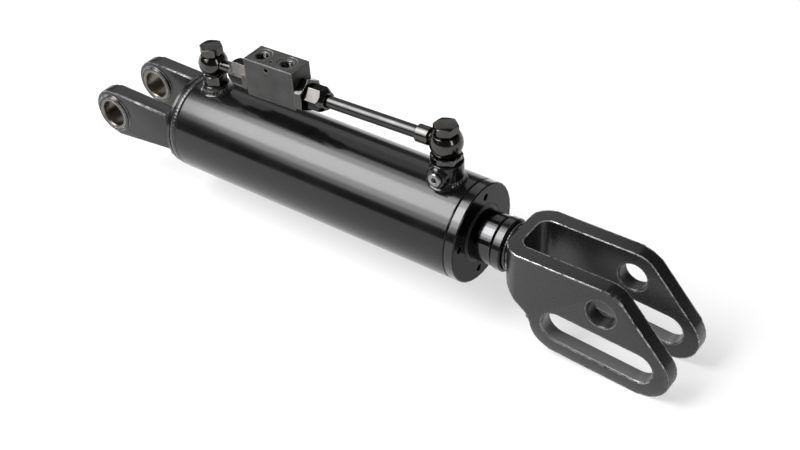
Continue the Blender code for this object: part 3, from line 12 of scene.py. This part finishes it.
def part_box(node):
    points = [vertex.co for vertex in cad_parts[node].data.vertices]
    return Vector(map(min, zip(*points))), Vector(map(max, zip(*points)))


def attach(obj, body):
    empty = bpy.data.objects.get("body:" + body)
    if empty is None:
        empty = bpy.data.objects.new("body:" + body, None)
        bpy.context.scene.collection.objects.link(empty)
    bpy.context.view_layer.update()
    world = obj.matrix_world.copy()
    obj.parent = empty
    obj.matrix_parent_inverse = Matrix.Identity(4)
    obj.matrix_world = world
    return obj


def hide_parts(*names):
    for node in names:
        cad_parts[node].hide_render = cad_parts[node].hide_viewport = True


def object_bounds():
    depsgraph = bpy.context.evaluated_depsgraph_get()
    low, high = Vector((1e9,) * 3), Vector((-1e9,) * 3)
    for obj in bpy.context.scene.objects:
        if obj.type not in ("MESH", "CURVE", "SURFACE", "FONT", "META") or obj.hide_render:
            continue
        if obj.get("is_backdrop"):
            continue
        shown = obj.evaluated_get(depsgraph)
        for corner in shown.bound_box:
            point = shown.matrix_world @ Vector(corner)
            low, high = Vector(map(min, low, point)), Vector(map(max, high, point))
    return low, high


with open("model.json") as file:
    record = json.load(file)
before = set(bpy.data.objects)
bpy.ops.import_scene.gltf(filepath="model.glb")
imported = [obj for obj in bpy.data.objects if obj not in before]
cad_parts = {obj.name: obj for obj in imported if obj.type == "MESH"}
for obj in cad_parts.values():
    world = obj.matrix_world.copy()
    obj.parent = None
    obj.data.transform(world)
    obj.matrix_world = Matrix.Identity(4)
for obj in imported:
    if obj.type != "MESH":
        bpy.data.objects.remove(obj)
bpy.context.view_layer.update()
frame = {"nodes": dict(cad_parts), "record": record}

MM = 0.001

# Camera, from the photograph's solved view
IMAGE_WIDTH = 800
FOCAL_PIXELS = 1372.4
SENSOR_WIDTH = 36.0
CLIP_NEAR = 0.05
CLIP_FAR = 50.0
CAMERA_FROM_BASE_END = Vector((791.5, -746.1, 730.1)) * MM
CAMERA_FORWARD = Vector((-0.4722, 0.6179, -0.6287))
CAMERA_RIGHT = Vector((0.8133, 0.5804, -0.0404))

# Machined openings of the rod fork, measured from its back face and the rod's axis
PIN_PLACE = (95.3 * MM, -1.6 * MM)
PIN_RADIUS = 12.7 * MM
SLOT_PLACE = (56.8 * MM, -35.9 * MM)
SLOT_RADIUS = 13.9 * MM
SLOT_TRAVEL = 72.5 * MM
SLOT_SLOPE = radians(4.5)
MACHINED_MARGIN = 0.3 * MM
PAINTED_RIM = 3.0 * MM

# Noise: scale, detail and, where it isn't the usual one, roughness
PAINT_CLOUDS = (22.0, 3.0)
PAINT_CHIPS_AND_GLINT_PATCHES = (160.0, 6.0, 0.65)
CAST_PITS = (170.0, 4.0, 0.5)
METAL_CLOUDS = (60.0, 4.0)
METAL_FLECKS = (900.0, 3.0, 0.7)
MOULDED_CLOUDS = (40.0, 3.0)

# Grain and tool marks: detail and roughness. Each finish brings its own scale.
GRAIN_DETAIL = (5.0, 0.6)
MARKS_DETAIL = (4.0, 0.6)

# Ranges of a noise value that are stretched over the full range of what it changes
CLOUD_RANGE = (0.35, 0.7)
GLOSS_RANGE = (0.3, 0.7)
CHIP_AND_GLINT_PATCH_RANGE = (0.36, 0.58)
FLECK_RANGE = (0.56, 0.7)

# Lighter edges, partly worn paint and partly a painted highlight: the cosine between the rounded and the
# true normal where they start, and where they are full
WEAR_AND_GLINT_COSINES = (0.985, 0.9)
WEAR_AND_GLINT_SAMPLES = 6
ROUNDING_SAMPLES = 8

# Paint
PAINT_GAIN = 1.5
PAINT_LIFT = 0.002
PAINT_GLOSS_SWING = 0.12
PAINT_GRAIN_GLOSS = 0.03
COAT_ROUGHNESS = 0.15
CLOUD_DEPTH_SHARE = 2.0
# Lighter edges: worn paint and a painted highlight along the rims
WORN_AND_GLINT_METALLIC = 0.45
WORN_AND_GLINT_GLOSS = -0.08
RIM_WEAR_AND_GLINT = 0.5
MACHINED_METALLIC = 0.6
MACHINED_GLOSS = 0.08

# Metal, rubber and plastic
TARNISH = 0.72
FLECK_SHADE = 0.3
METAL_EDGE = 0.5 * MM
METAL_ROUNDING = 0.35 * MM
METAL_MARK_GLOSS = 0.05
METAL_CLOUD_GLOSS = (-0.03, 0.05)
MOULDED_GAIN = 1.4
MOULDED_GLOSS = 0.06
MOULDED_ROUNDING = 0.2 * MM

# Shading of the solids
MERGE_DISTANCE = 0.001 * MM
SPLIT_ANGLE = radians(32.0)

# Weld ripples
STEPS_PER_RIPPLE = 6
RIPPLE_BOW = 0.55
RIPPLE_POWER = 1.5

# Weld beads round the axis: name, replaced node, ripples, rise, body
RING_BEADS = (
    ("base_cap_bead", "base_cap_weld", 84, 1.2 * MM, "barrel"),
    ("fork_bead", "fork_weld", 44, 1.4 * MM, "rod"),
)
RING_POINTS = 11
RING_RIPPLE_SHARE = 0.2
RING_SINK_SHARE = 0.2
RING_ROOT_SHARE = 2.2

# Weld beads at the feet of the port bosses
BOSS_RIPPLES = {"base": 26, "gland": 32}
BOSS_SKIRT = 2.8 * MM
BOSS_HEIGHT = 4.0 * MM
BOSS_POINTS = 9
BOSS_RIPPLE_HEIGHT = 0.55 * MM
BOSS_RIPPLE_BASE = 0.5
BOSS_RIPPLE_SHARE = 0.7
BOSS_OFFSET = 0.15 * MM
BOSS_OVERLAP = 0.8 * MM
BOSS_TOE = 0.4 * MM

# Thread in each open service port. Its root and crest are half widths, as shares of the pitch.
THREAD_RADIUS = 5.85 * MM
THREAD_DEPTH = 10.0 * MM
THREAD_PITCH = 1.337 * MM
THREAD_HEIGHT = 0.7 * MM
THREAD_START = 1.2 * MM
THREAD_ROOT = 0.45
THREAD_CREST = 0.06
THREAD_STEPS_PER_TURN = 28
THREAD_FADE_STEPS = 14

# Studio
FLOOR_HALF = 9.0
FLOOR_COLOUR = (0.42, 0.42, 0.42)
FLOOR_ROUGHNESS = 0.9
FLOOR_SPECULAR = 0.1
FLOOR_GLOW = 0.6
ROOM_LIGHT = 0.08
WHITE = (1.0, 1.0, 1.0, 1.0)

# Key softbox: layers of (height, radiance), parted along the direction it shines in
KEY_PLACE = Vector((-1.2, -1.01, 1.94))
KEY_TILT = radians(29.0)
KEY_WIDTH = 1.35
KEY_LAYERS = ((3.7, 3.0), (2.4, 4.0), (1.2, 6.0))
LAYER_GAP = 0.03

# Other softboxes: name, place, width, height, power
SOFTBOX_TARGET = Vector((0.0, 0.0, 0.1))
SOFTBOXES = (
    ("back_softbox", (-1.0, 1.3, 1.3), 1.6, 1.2, 4.0),
    ("right_softbox", (1.7, -0.5, 0.75), 0.35, 0.9, 5.0),
    ("left_softbox", (-2.1, 0.1, 0.55), 0.35, 0.9, 6.0),
)

nodes = frame["nodes"]
record = frame["record"]


def middle(node):
    low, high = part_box(node)
    return (low + high) / 2


barrel_low, barrel_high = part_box("barrel_tube")
AXIS_HEIGHT = middle("barrel_tube").z
BASE_END = Vector((barrel_low.x, 0.0, AXIS_HEIGHT))
BARREL_RADIUS = (barrel_high.y - barrel_low.y) / 2
FORK_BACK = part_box("rod_clevis")[0].x


class Finish:
    """A procedural material: a Principled shader, and helpers that wire up its inputs."""

    def __init__(self, name):
        self.material = bpy.data.materials.new(name)
        self.material.use_nodes = True
        self.tree = self.material.node_tree
        self.shader = self.tree.nodes["Principled BSDF"]

    @cached_property
    def coordinates(self):
        """The object's own coordinates."""
        return self.add("ShaderNodeTexCoord").outputs["Object"]

    def add(self, kind, **settings):
        node = self.tree.nodes.new(kind)
        for key, value in settings.items():
            setattr(node, key, value)
        return node

    def feed(self, socket, value):
        """Links an input to a socket, or gives it a fixed value."""
        if isinstance(value, bpy.types.NodeSocket):
            self.tree.links.new(value, socket)
        else:
            socket.default_value = value

    def set(self, name, value):
        """Feeds one of the shader's own inputs."""
        self.feed(self.shader.inputs[name], value)

    def mapped(self, kind="POINT", **settings):
        """The coordinates, moved, turned or stretched."""
        mapping = self.add("ShaderNodeMapping", vector_type=kind)
        for key, value in settings.items():
            mapping.inputs[key].default_value = value
        self.feed(mapping.inputs["Vector"], self.coordinates)
        return mapping.outputs["Vector"]

    def noise(self, scale, detail, roughness=0.55, stretch=(1.0, 1.0, 1.0)):
        """A noise value, stretched along the object's axes."""
        texture = self.add("ShaderNodeTexNoise")
        texture.inputs["Scale"].default_value = scale
        texture.inputs["Detail"].default_value = detail
        texture.inputs["Roughness"].default_value = roughness
        self.feed(texture.inputs["Vector"], self.mapped(Scale=stretch))
        return texture.outputs["Fac"]

    def span(self, value, source, target=(0.0, 1.0)):
        """Maps a value from one range to another, with its ends held."""
        node = self.add("ShaderNodeMapRange")
        node.inputs["From Min"].default_value, node.inputs["From Max"].default_value = source
        node.inputs["To Min"].default_value, node.inputs["To Max"].default_value = target
        self.feed(node.inputs["Value"], value)
        return node.outputs["Result"]

    def math(self, operation, *values):
        node = self.add("ShaderNodeMath", operation=operation)
        for socket, value in zip(node.inputs, values):
            self.feed(socket, value)
        return node.outputs["Value"]

    def mix(self, share, first, second):
        """A colour between two, which are colours or sockets."""
        node = self.add("ShaderNodeMix", data_type="RGBA")
        self.feed(node.inputs["Factor"], share)
        for socket, value in ((node.inputs[6], first), (node.inputs[7], second)):
            self.feed(socket, (*value, 1.0) if isinstance(value, tuple) else value)
        return node.outputs[2]

    def apart(self, vector):
        """The X, Y and Z outputs of a vector."""
        split = self.add("ShaderNodeSeparateXYZ")
        self.feed(split.inputs["Vector"], vector)
        return split.outputs

    def rounded(self, radius, samples):
        """The normal of edges that are rounded by a radius."""
        bevel = self.add("ShaderNodeBevel", samples=samples)
        bevel.inputs["Radius"].default_value = radius
        return bevel.outputs["Normal"]

    def edges(self, width):
        """1 beside sharp edges, and 0 on flats and beyond the width."""
        product = self.add("ShaderNodeVectorMath", operation="DOT_PRODUCT")
        self.feed(product.inputs[0], self.rounded(width, WEAR_AND_GLINT_SAMPLES))
        self.feed(product.inputs[1], self.add("ShaderNodeNewGeometry").outputs["True Normal"])
        return self.span(product.outputs["Value"], WEAR_AND_GLINT_COSINES)

    def opening(self, place, radius, travel, slope):
        """1 on the walls of a round or long hole that runs through along Y, and 0 elsewhere."""
        centre = (FORK_BACK + place[0], 0.0, AXIS_HEIGHT + place[1])
        local = self.apart(self.mapped("TEXTURE", Location=centre, Rotation=(0.0, slope, 0.0)))
        along, across = local["X"], local["Z"]
        before = self.math("MULTIPLY", along, -1.0)
        past = self.math("MAXIMUM", before, self.math("SUBTRACT", along, travel))
        past = self.math("MAXIMUM", past, 0.0)
        past_square = self.math("MULTIPLY", past, past)
        across_square = self.math("MULTIPLY", across, across)
        square = self.math("ADD", past_square, across_square)
        return self.math("LESS_THAN", square, (radius + MACHINED_MARGIN) ** 2)

    def round_share(self):
        """1 on surfaces round the X axis, and 0 on faces that look along it."""
        normal = self.apart(self.add("ShaderNodeNewGeometry").outputs["Normal"])
        return self.math("SUBTRACT", 1.0, self.math("ABSOLUTE", normal["X"]))

    def relief(self, layers, rounding):
        """Bumps from (value, depth) layers over edges that are rounded by a radius."""
        normal = self.rounded(rounding, ROUNDING_SAMPLES)
        for value, depth in layers:
            bump = self.add("ShaderNodeBump")
            bump.inputs["Distance"].default_value = depth
            bump.inputs["Strength"].default_value = 1.0
            self.feed(bump.inputs["Height"], value)
            self.feed(bump.inputs["Normal"], normal)
            normal = bump.outputs["Normal"]
        self.set("Normal", normal)


def painted(
    name,
    colour,
    roughness,
    grain,
    wear_and_glint,
    ior=1.5,
    coat=0.0,
    painted_sheen_on_rounds=False,
    rounding=0.6 * MM,
    cast=0.0,
    openings=(),
):
    """Paint over steel: uneven gloss, fine relief, and a lighter colour along the edges, partly bare
    metal on worn edges and partly a painted highlight.

    Grain is the scale and depth of the fine relief. Wear_and_glint is the share, width and colour of the
    lighter edges. Cast is the depth of a coarser relief, which the machined openings don't have.
    """
    grain_scale, grain_depth = grain
    wear_and_glint_share, wear_and_glint_width, wear_and_glint_colour = wear_and_glint
    finish = Finish(name)
    clouds = finish.noise(*PAINT_CLOUDS)
    grains = finish.noise(grain_scale, *GRAIN_DETAIL)
    chips_and_glint_patches = finish.noise(*PAINT_CHIPS_AND_GLINT_PATCHES)
    lighter = tuple(c * PAINT_GAIN + PAINT_LIFT for c in colour)
    base = finish.mix(finish.span(clouds, CLOUD_RANGE), colour, lighter)
    swing = (roughness * (1 - PAINT_GLOSS_SWING), roughness * (1 + PAINT_GLOSS_SWING))
    fine = finish.span(grains, GLOSS_RANGE, (-PAINT_GRAIN_GLOSS, PAINT_GRAIN_GLOSS))
    gloss = finish.math("ADD", finish.span(clouds, GLOSS_RANGE, swing), fine)

    # Lighter colour along the edges: worn paint, and on the forging and ears mostly a painted highlight
    # along the rims
    rubbed_and_glinting = finish.math("MULTIPLY", finish.edges(wear_and_glint_width), finish.span(chips_and_glint_patches, CHIP_AND_GLINT_PATCH_RANGE))
    rubbed_and_glinting = finish.math("MULTIPLY", rubbed_and_glinting, wear_and_glint_share)
    # The painted edge highlight stays fainter round the pin hole
    for place, radius, travel, slope, _ in openings:
        if travel == 0.0:
            rim = finish.opening(place, radius + PAINTED_RIM, travel, slope)
            rubbed_and_glinting = finish.math("MULTIPLY", rubbed_and_glinting, finish.span(rim, (0.0, 1.0), (1.0, RIM_WEAR_AND_GLINT)))
    base = finish.mix(rubbed_and_glinting, base, wear_and_glint_colour)
    metallic = finish.math("MULTIPLY", rubbed_and_glinting, WORN_AND_GLINT_METALLIC)
    gloss = finish.math("ADD", gloss, finish.math("MULTIPLY", rubbed_and_glinting, WORN_AND_GLINT_GLOSS))

    painted_share = 1.0
    for place, radius, travel, slope, shade in openings:
        machined = finish.opening(place, radius, travel, slope)
        base = finish.mix(machined, base, shade)
        metallic = finish.math("MAXIMUM", metallic, finish.math("MULTIPLY", machined, MACHINED_METALLIC))
        gloss = finish.math("ADD", gloss, finish.math("MULTIPLY", machined, MACHINED_GLOSS))
        painted_share = finish.math("SUBTRACT", painted_share, machined)

    finish.set("Base Color", base)
    finish.set("Metallic", metallic)
    finish.set("Roughness", gloss)
    finish.set("IOR", ior)
    # Coat only on round surfaces: a painted sheen on the rims, with end faces along the axis left darker
    # as painted shade
    if painted_sheen_on_rounds:
        coat = finish.math("MULTIPLY", finish.round_share(), coat)
    finish.set("Coat Weight", coat)
    finish.set("Coat Roughness", COAT_ROUGHNESS)
    layers = [(clouds, grain_depth * CLOUD_DEPTH_SHARE), (grains, grain_depth)]
    if cast > 0.0:
        pitted = finish.math("MULTIPLY", finish.noise(*CAST_PITS), painted_share)
        layers.insert(1, (pitted, cast))
    finish.relief(layers, rounding)
    return finish.material


def metal(name, colour, roughness, marks, wear_and_glint, spots=0.0, metallic=1.0):
    """Bare or plated metal with tool marks along one direction, tarnish, and brighter edges that are
    partly wear and partly a painted highlight.

    Marks are the scale, stretch and depth of the tool marks. Wear_and_glint is the share and colour of
    the brighter edges.
    """
    marks_scale, marks_stretch, marks_depth = marks
    wear_and_glint_share, wear_and_glint_colour = wear_and_glint
    finish = Finish(name)
    clouds = finish.noise(*METAL_CLOUDS)
    lines = finish.noise(marks_scale, *MARKS_DETAIL, marks_stretch)
    base = finish.mix(finish.span(clouds, CLOUD_RANGE), colour, tuple(c * TARNISH for c in colour))
    # Brighter edges: partly worn plating, partly a painted highlight
    bright = finish.math("MULTIPLY", finish.edges(METAL_EDGE), wear_and_glint_share)
    base = finish.mix(bright, base, wear_and_glint_colour)
    if spots > 0.0:
        flecks = finish.noise(*METAL_FLECKS)
        dark = finish.math("MULTIPLY", finish.span(flecks, FLECK_RANGE), spots)
        base = finish.mix(dark, base, tuple(c * FLECK_SHADE for c in colour))
    finish.set("Base Color", base)
    finish.set("Metallic", metallic)
    swing = finish.span(lines, GLOSS_RANGE, (-METAL_MARK_GLOSS, METAL_MARK_GLOSS))
    gloss = finish.math("ADD", swing, roughness)
    tarnish = finish.span(clouds, GLOSS_RANGE, METAL_CLOUD_GLOSS)
    finish.set("Roughness", finish.math("ADD", gloss, tarnish))
    finish.relief([(lines, marks_depth)], METAL_ROUNDING)
    return finish.material


def moulded(name, colour, roughness, grain_scale, grain_depth):
    """Rubber or plastic with a fine moulded grain."""
    finish = Finish(name)
    grains = finish.noise(grain_scale, *GRAIN_DETAIL)
    clouds = finish.noise(*MOULDED_CLOUDS)
    lighter = tuple(c * MOULDED_GAIN for c in colour)
    finish.set("Base Color", finish.mix(finish.span(clouds, GLOSS_RANGE), colour, lighter))
    swing = (roughness - MOULDED_GLOSS, roughness + MOULDED_GLOSS)
    finish.set("Roughness", finish.span(grains, GLOSS_RANGE, swing))
    finish.relief([(grains, grain_depth)], MOULDED_ROUNDING)
    return finish.material


BRIGHT_STEEL = (0.55, 0.54, 0.52)
PIN_STEEL = (0.07, 0.07, 0.071)
SLOT_STEEL = (0.26, 0.26, 0.263)
FORK_OPENINGS = (
    (PIN_PLACE, PIN_RADIUS, 0.0, 0.0, PIN_STEEL),
    (SLOT_PLACE, SLOT_RADIUS, SLOT_TRAVEL, SLOT_SLOPE, SLOT_STEEL),
)
finishes = {
    "barrel": painted(
        "barrel_gloss",
        colour=(0.003, 0.003, 0.0035),
        roughness=0.16,
        grain=(900.0, 0.0015 * MM),
        wear_and_glint=(0.3, 0.5 * MM, (0.2, 0.2, 0.2)),
        ior=1.46,
    ),
    "cover": painted(
        "cover_satin",
        colour=(0.003, 0.003, 0.0035),
        roughness=0.18,
        grain=(1100.0, 0.004 * MM),
        wear_and_glint=(0.5, 0.5 * MM, (0.25, 0.25, 0.24)),
        ior=1.25,
        # Coat on round surfaces only: painted sheen on the rims, painted shade on the end faces
        coat=0.85,
        painted_sheen_on_rounds=True,
    ),
    "forging": painted(
        "forged_black",
        colour=(0.005, 0.005, 0.0052),
        roughness=0.28,
        grain=(520.0, 0.035 * MM),
        # Bright edge colour: mostly a painted highlight along the rounded rims, partly worn paint
        wear_and_glint=(0.95, 2.2 * MM, (0.8, 0.79, 0.78)),
        ior=1.6,
        rounding=2.2 * MM,
        cast=0.03 * MM,
        openings=FORK_OPENINGS,
    ),
    "ear": painted(
        "ear_black",
        colour=(0.008, 0.008, 0.0085),
        roughness=0.24,
        grain=(600.0, 0.015 * MM),
        # Bright edge colour: mostly a painted highlight along the rounded rims, partly worn paint
        wear_and_glint=(0.9, 1.2 * MM, (0.5, 0.49, 0.48)),
        ior=1.45,
        rounding=2.0 * MM,
        cast=0.04 * MM,
    ),
    "weld": painted(
        "weld_black",
        colour=(0.01, 0.01, 0.01),
        roughness=0.24,
        grain=(600.0, 0.02 * MM),
        wear_and_glint=(0.3, 0.5 * MM, (0.2, 0.19, 0.18)),
        coat=0.2,
    ),
    "fitting": metal(
        "black_nickel",
        colour=(0.082, 0.079, 0.076),
        roughness=0.13,
        marks=(500.0, (1.0, 1.0, 0.15), 0.0008 * MM),
        wear_and_glint=(0.4, BRIGHT_STEEL),
    ),
    "plug": metal(
        "plug_steel",
        colour=(0.3, 0.295, 0.29),
        roughness=0.25,
        marks=(900.0, (0.2, 1.0, 0.2), 0.001 * MM),
        wear_and_glint=(0.5, BRIGHT_STEEL),
    ),
    "pipe": metal(
        "black_pipe",
        colour=(0.06, 0.059, 0.058),
        roughness=0.18,
        marks=(600.0, (0.12, 1.0, 1.0), 0.003 * MM),
        wear_and_glint=(0.4, BRIGHT_STEEL),
    ),
    "block": metal(
        "block_steel",
        colour=(0.068, 0.067, 0.066),
        roughness=0.48,
        marks=(1400.0, (0.08, 1.0, 1.0), 0.006 * MM),
        wear_and_glint=(0.9, (0.5, 0.49, 0.48)),
        spots=0.35,
        metallic=0.6,
    ),
    "bore": metal(
        "turned_steel",
        colour=(0.2, 0.18, 0.16),
        roughness=0.3,
        marks=(1200.0, (1.0, 0.12, 1.0), 0.006 * MM),
        wear_and_glint=(0.5, BRIGHT_STEEL),
        spots=0.3,
    ),
    "rod": metal(
        "rod_black",
        colour=(0.065, 0.065, 0.067),
        roughness=0.1,
        marks=(1500.0, (1.0, 0.1, 0.1), 0.001 * MM),
        wear_and_glint=(0.3, BRIGHT_STEEL),
    ),
    "copper": metal(
        "washer_dark",
        colour=(0.09, 0.075, 0.065),
        roughness=0.3,
        marks=(900.0, (1.0, 1.0, 0.2), 0.004 * MM),
        wear_and_glint=(0.3, (0.3, 0.25, 0.2)),
    ),
    "rubber": moulded("seal_rubber", (0.012, 0.012, 0.013), 0.5, 900.0, 0.02 * MM),
    "plastic": moulded("guide_plastic", (0.13, 0.09, 0.055), 0.5, 700.0, 0.02 * MM),
}
slot_finish = {
    "gloss_black": "barrel",
    "satin_black": "forging",
    "black_zinc": "fitting",
    "block_steel": "block",
    "bare_steel": "bore",
    "rod_chrome": "rod",
    "weld": "weld",
    "seal_rubber": "rubber",
    "guide_plastic": "plastic",
    "copper": "copper",
}
special_finish = {
    "gland": "cover",
    "base_cap": "cover",
    "neck_collar": "cover",
    "base_port_boss": "barrel",
    "gland_port_boss": "barrel",
    "valve_pipe": "pipe",
    "bleed_plug": "plug",
    "base_ear_near": "ear",
    "base_ear_far": "ear",
}

for row in record["subparts"]:
    node = nodes[row["node"]]
    chosen = finishes[special_finish.get(row["node"], slot_finish[row["material_slot"]])]
    if node.material_slots:
        for slot in node.material_slots:
            slot.material = chosen
    else:
        node.data.materials.append(chosen)
    node.modifiers.new("join_points", "WELD").merge_threshold = MERGE_DISTANCE
    for polygon in node.data.polygons:
        polygon.use_smooth = True
    node.modifiers.new("sharp_edges", "EDGE_SPLIT").split_angle = SPLIT_ANGLE


def mesh_of(name, shape):
    mesh = bpy.data.meshes.new(name)
    shape.to_mesh(mesh)
    shape.free()
    return mesh


def added(name, data):
    """A new object in the scene."""
    made = bpy.data.objects.new(name, data)
    bpy.context.scene.collection.objects.link(made)
    return made


def piece(name, shape, finish, body):
    """A new visible mesh that rides on a body."""
    bmesh.ops.recalc_face_normals(shape, faces=shape.faces)
    mesh = mesh_of(name, shape)
    mesh.shade_smooth()
    mesh.materials.append(finishes[finish])
    made = added(name, mesh)
    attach(made, body)
    return made


def woven(shape, near, far):
    """Faces between two rings of points."""
    for k in range(len(near)):
        after = (k + 1) % len(near)
        shape.faces.new((near[k], near[after], far[after], far[k]))


def woven_loops(rows):
    """A closed mesh through rows of points, where each row is a ring and the rows form a ring too."""
    shape = bmesh.new()
    rings = [[shape.verts.new(point) for point in row] for row in rows]
    for near, far in zip(rings, rings[1:] + rings[:1]):
        woven(shape, near, far)
    return shape


def ripple(turn, count, across):
    """The height of a weld's frozen ripples, from 0 to 1, at a turn round the bead and across it."""
    phase = (turn * count / (2 * pi) - RIPPLE_BOW * across * across) % 1.0
    return (1.0 - phase) ** RIPPLE_POWER


def bead_turns(ripples):
    """The turns round a bead at which its rows of points stand."""
    steps = ripples * STEPS_PER_RIPPLE
    return [2 * pi * step / steps for step in range(steps)]


def ring_bead(name, node, ripples, rise, body):
    """A rippled weld bead round the X axis, in place of a CAD bead."""
    low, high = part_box(node)
    outer = (high.y - low.y) / 2
    half = (high.x - low.x) / 2
    centre = (low.x + high.x) / 2

    def point(across, radius, turn):
        return Vector((centre + across * half, radius * cos(turn), AXIS_HEIGHT + radius * sin(turn)))

    rows = []
    for turn in bead_turns(ripples):
        row = []
        for k in range(RING_POINTS):
            across = -1.0 + 2.0 * k / (RING_POINTS - 1)
            crown = outer - rise + rise * sqrt(max(0.0, 1.0 - across * across))
            lift = RING_RIPPLE_SHARE * rise * ripple(turn, ripples, across) * (1.0 - across**4)
            row.append(point(across, crown - RING_SINK_SHARE * rise + lift, turn))
        for across in (1.0, -1.0):
            row.append(point(across, outer - RING_ROOT_SHARE * rise, turn))
        rows.append(row)
    made = piece(name, woven_loops(rows), "weld", body)
    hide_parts(node)
    return made


def boss_bead(name, port_x, boss_radius, ripples):
    """A rippled weld bead where a port boss meets the barrel."""

    def point(radius, rise, turn):
        y = radius * sin(turn)
        surface = AXIS_HEIGHT + sqrt(BARREL_RADIUS**2 - y * y)
        return Vector((port_x + radius * cos(turn), y, surface + rise))

    rows = []
    for turn in bead_turns(ripples):
        row = []
        for k in range(BOSS_POINTS):
            share = k / (BOSS_POINTS - 1)
            angle = pi / 2 * share
            swell = BOSS_RIPPLE_BASE + ripple(turn, ripples, 2 * share - 1)
            lift = BOSS_RIPPLE_HEIGHT * swell * sin(pi * share) * BOSS_RIPPLE_SHARE
            radius = boss_radius + BOSS_SKIRT * (1 - sin(angle)) + BOSS_OFFSET + lift
            row.append(point(radius, BOSS_HEIGHT * (1 - cos(angle)) + lift, turn))
        for rise in (BOSS_HEIGHT, BOSS_TOE):
            row.append(point(boss_radius - BOSS_OVERLAP, rise, turn))
        rows.append(row)
    return piece(name, woven_loops(rows), "weld", "barrel")


def port_thread(name, mount, axis):
    """The thread ridge inside an open port, as a helix that runs down from its mouth."""
    up = Vector(axis).normalized()
    side = Vector((0.0, 1.0, 0.0))
    ahead = side.cross(up).normalized()
    top = Vector((mount[0], 0.0, mount[2])) - up * THREAD_START
    turns = THREAD_DEPTH / THREAD_PITCH
    steps = int(turns * THREAD_STEPS_PER_TURN)
    shape = bmesh.new()
    loops = []
    for step in range(steps + 1):
        angle = 2 * pi * turns * step / steps
        fall = THREAD_DEPTH * step / steps
        out = ahead * cos(angle) + side * sin(angle)
        fade = min(1.0, step / THREAD_FADE_STEPS, (steps - step) / THREAD_FADE_STEPS)
        crest = THREAD_RADIUS - THREAD_HEIGHT * fade
        profile = (
            (THREAD_RADIUS, THREAD_ROOT),
            (crest, THREAD_CREST),
            (crest, -THREAD_CREST),
            (THREAD_RADIUS, -THREAD_ROOT),
        )
        loops.append(
            [
                shape.verts.new(top - up * (fall + shift * THREAD_PITCH) + out * reach)
                for reach, shift in profile
            ]
        )
    for near, far in zip(loops, loops[1:]):
        woven(shape, near, far)
    shape.faces.new(loops[0])
    shape.faces.new(loops[-1])
    return piece(name, shape, "fitting", "barrel")


for bead in RING_BEADS:
    ring_bead(*bead)
for end, ripples in BOSS_RIPPLES.items():
    low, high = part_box(end + "_port_boss")
    boss_radius = (high.x - low.x) / 2 - BOSS_SKIRT
    boss_bead(end + "_boss_bead", middle(end + "_washer_upper").x, boss_radius, ripples)
for mount in record["mounts"]:
    if mount["name"].endswith("service_face"):
        port_thread(mount["name"].replace("face", "thread"), mount["pos_m"], mount["axis"])


def softbox(name, place, turn, width, height, power):
    """A rectangular lamp."""
    light = bpy.data.lights.new(name, "AREA")
    light.shape = "RECTANGLE"
    light.size = width
    light.size_y = height
    light.energy = power
    holder = added(name, light)
    holder.location = place
    holder.rotation_euler = turn


key_direction = Vector((0.0, sin(KEY_TILT), -cos(KEY_TILT)))
for layer, (height, radiance) in enumerate(KEY_LAYERS):
    place = KEY_PLACE + key_direction * LAYER_GAP * layer
    power = radiance * pi * KEY_WIDTH * height
    softbox("key_softbox_%d" % layer, place, (KEY_TILT, 0.0, 0.0), KEY_WIDTH, height, power)
for name, place, width, height, power in SOFTBOXES:
    aim = (SOFTBOX_TARGET - Vector(place)).to_track_quat("-Z", "Y").to_euler()
    softbox(name, place, aim, width, height, power)

world = bpy.data.worlds.new("studio")
bpy.context.scene.world = world
world.use_nodes = True
background = world.node_tree.nodes["Background"]
background.inputs["Color"].default_value = WHITE
background.inputs["Strength"].default_value = ROOM_LIGHT

# The floor's glow shows to the camera and in mirrored and refracted rays only
floor_finish = Finish("floor_white")
rays = floor_finish.add("ShaderNodeLightPath").outputs
seen = rays["Is Camera Ray"]
for kind in ("Is Glossy Ray", "Is Transmission Ray"):
    seen = floor_finish.math("MAXIMUM", seen, rays[kind])
floor_finish.set("Base Color", (*FLOOR_COLOUR, 1.0))
floor_finish.set("Roughness", FLOOR_ROUGHNESS)
floor_finish.set("Specular IOR Level", FLOOR_SPECULAR)
floor_finish.set("Emission Color", WHITE)
floor_finish.set("Emission Strength", floor_finish.math("MULTIPLY", seen, FLOOR_GLOW))
floor_shape = bmesh.new()
bmesh.ops.create_grid(floor_shape, x_segments=1, y_segments=1, size=FLOOR_HALF)
floor_mesh = mesh_of("floor", floor_shape)
floor_mesh.materials.append(floor_finish.material)
floor = added("floor", floor_mesh)
floor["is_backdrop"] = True

camera_data = bpy.data.cameras.new("camera")
camera_data.sensor_width = SENSOR_WIDTH
camera_data.lens = FOCAL_PIXELS / IMAGE_WIDTH * SENSOR_WIDTH
camera_data.clip_start = CLIP_NEAR
camera_data.clip_end = CLIP_FAR
camera = added("camera", camera_data)
backward = -CAMERA_FORWARD.normalized()
right = (CAMERA_RIGHT - CAMERA_RIGHT.project(backward)).normalized()
upward = backward.cross(right)
turned = Matrix((right, upward, backward)).transposed().to_4x4()
camera.matrix_world = Matrix.Translation(BASE_END + CAMERA_FROM_BASE_END) @ turned
bpy.context.scene.camera = camera
bpy.context.scene.view_settings.view_transform = "Standard"

low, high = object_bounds()
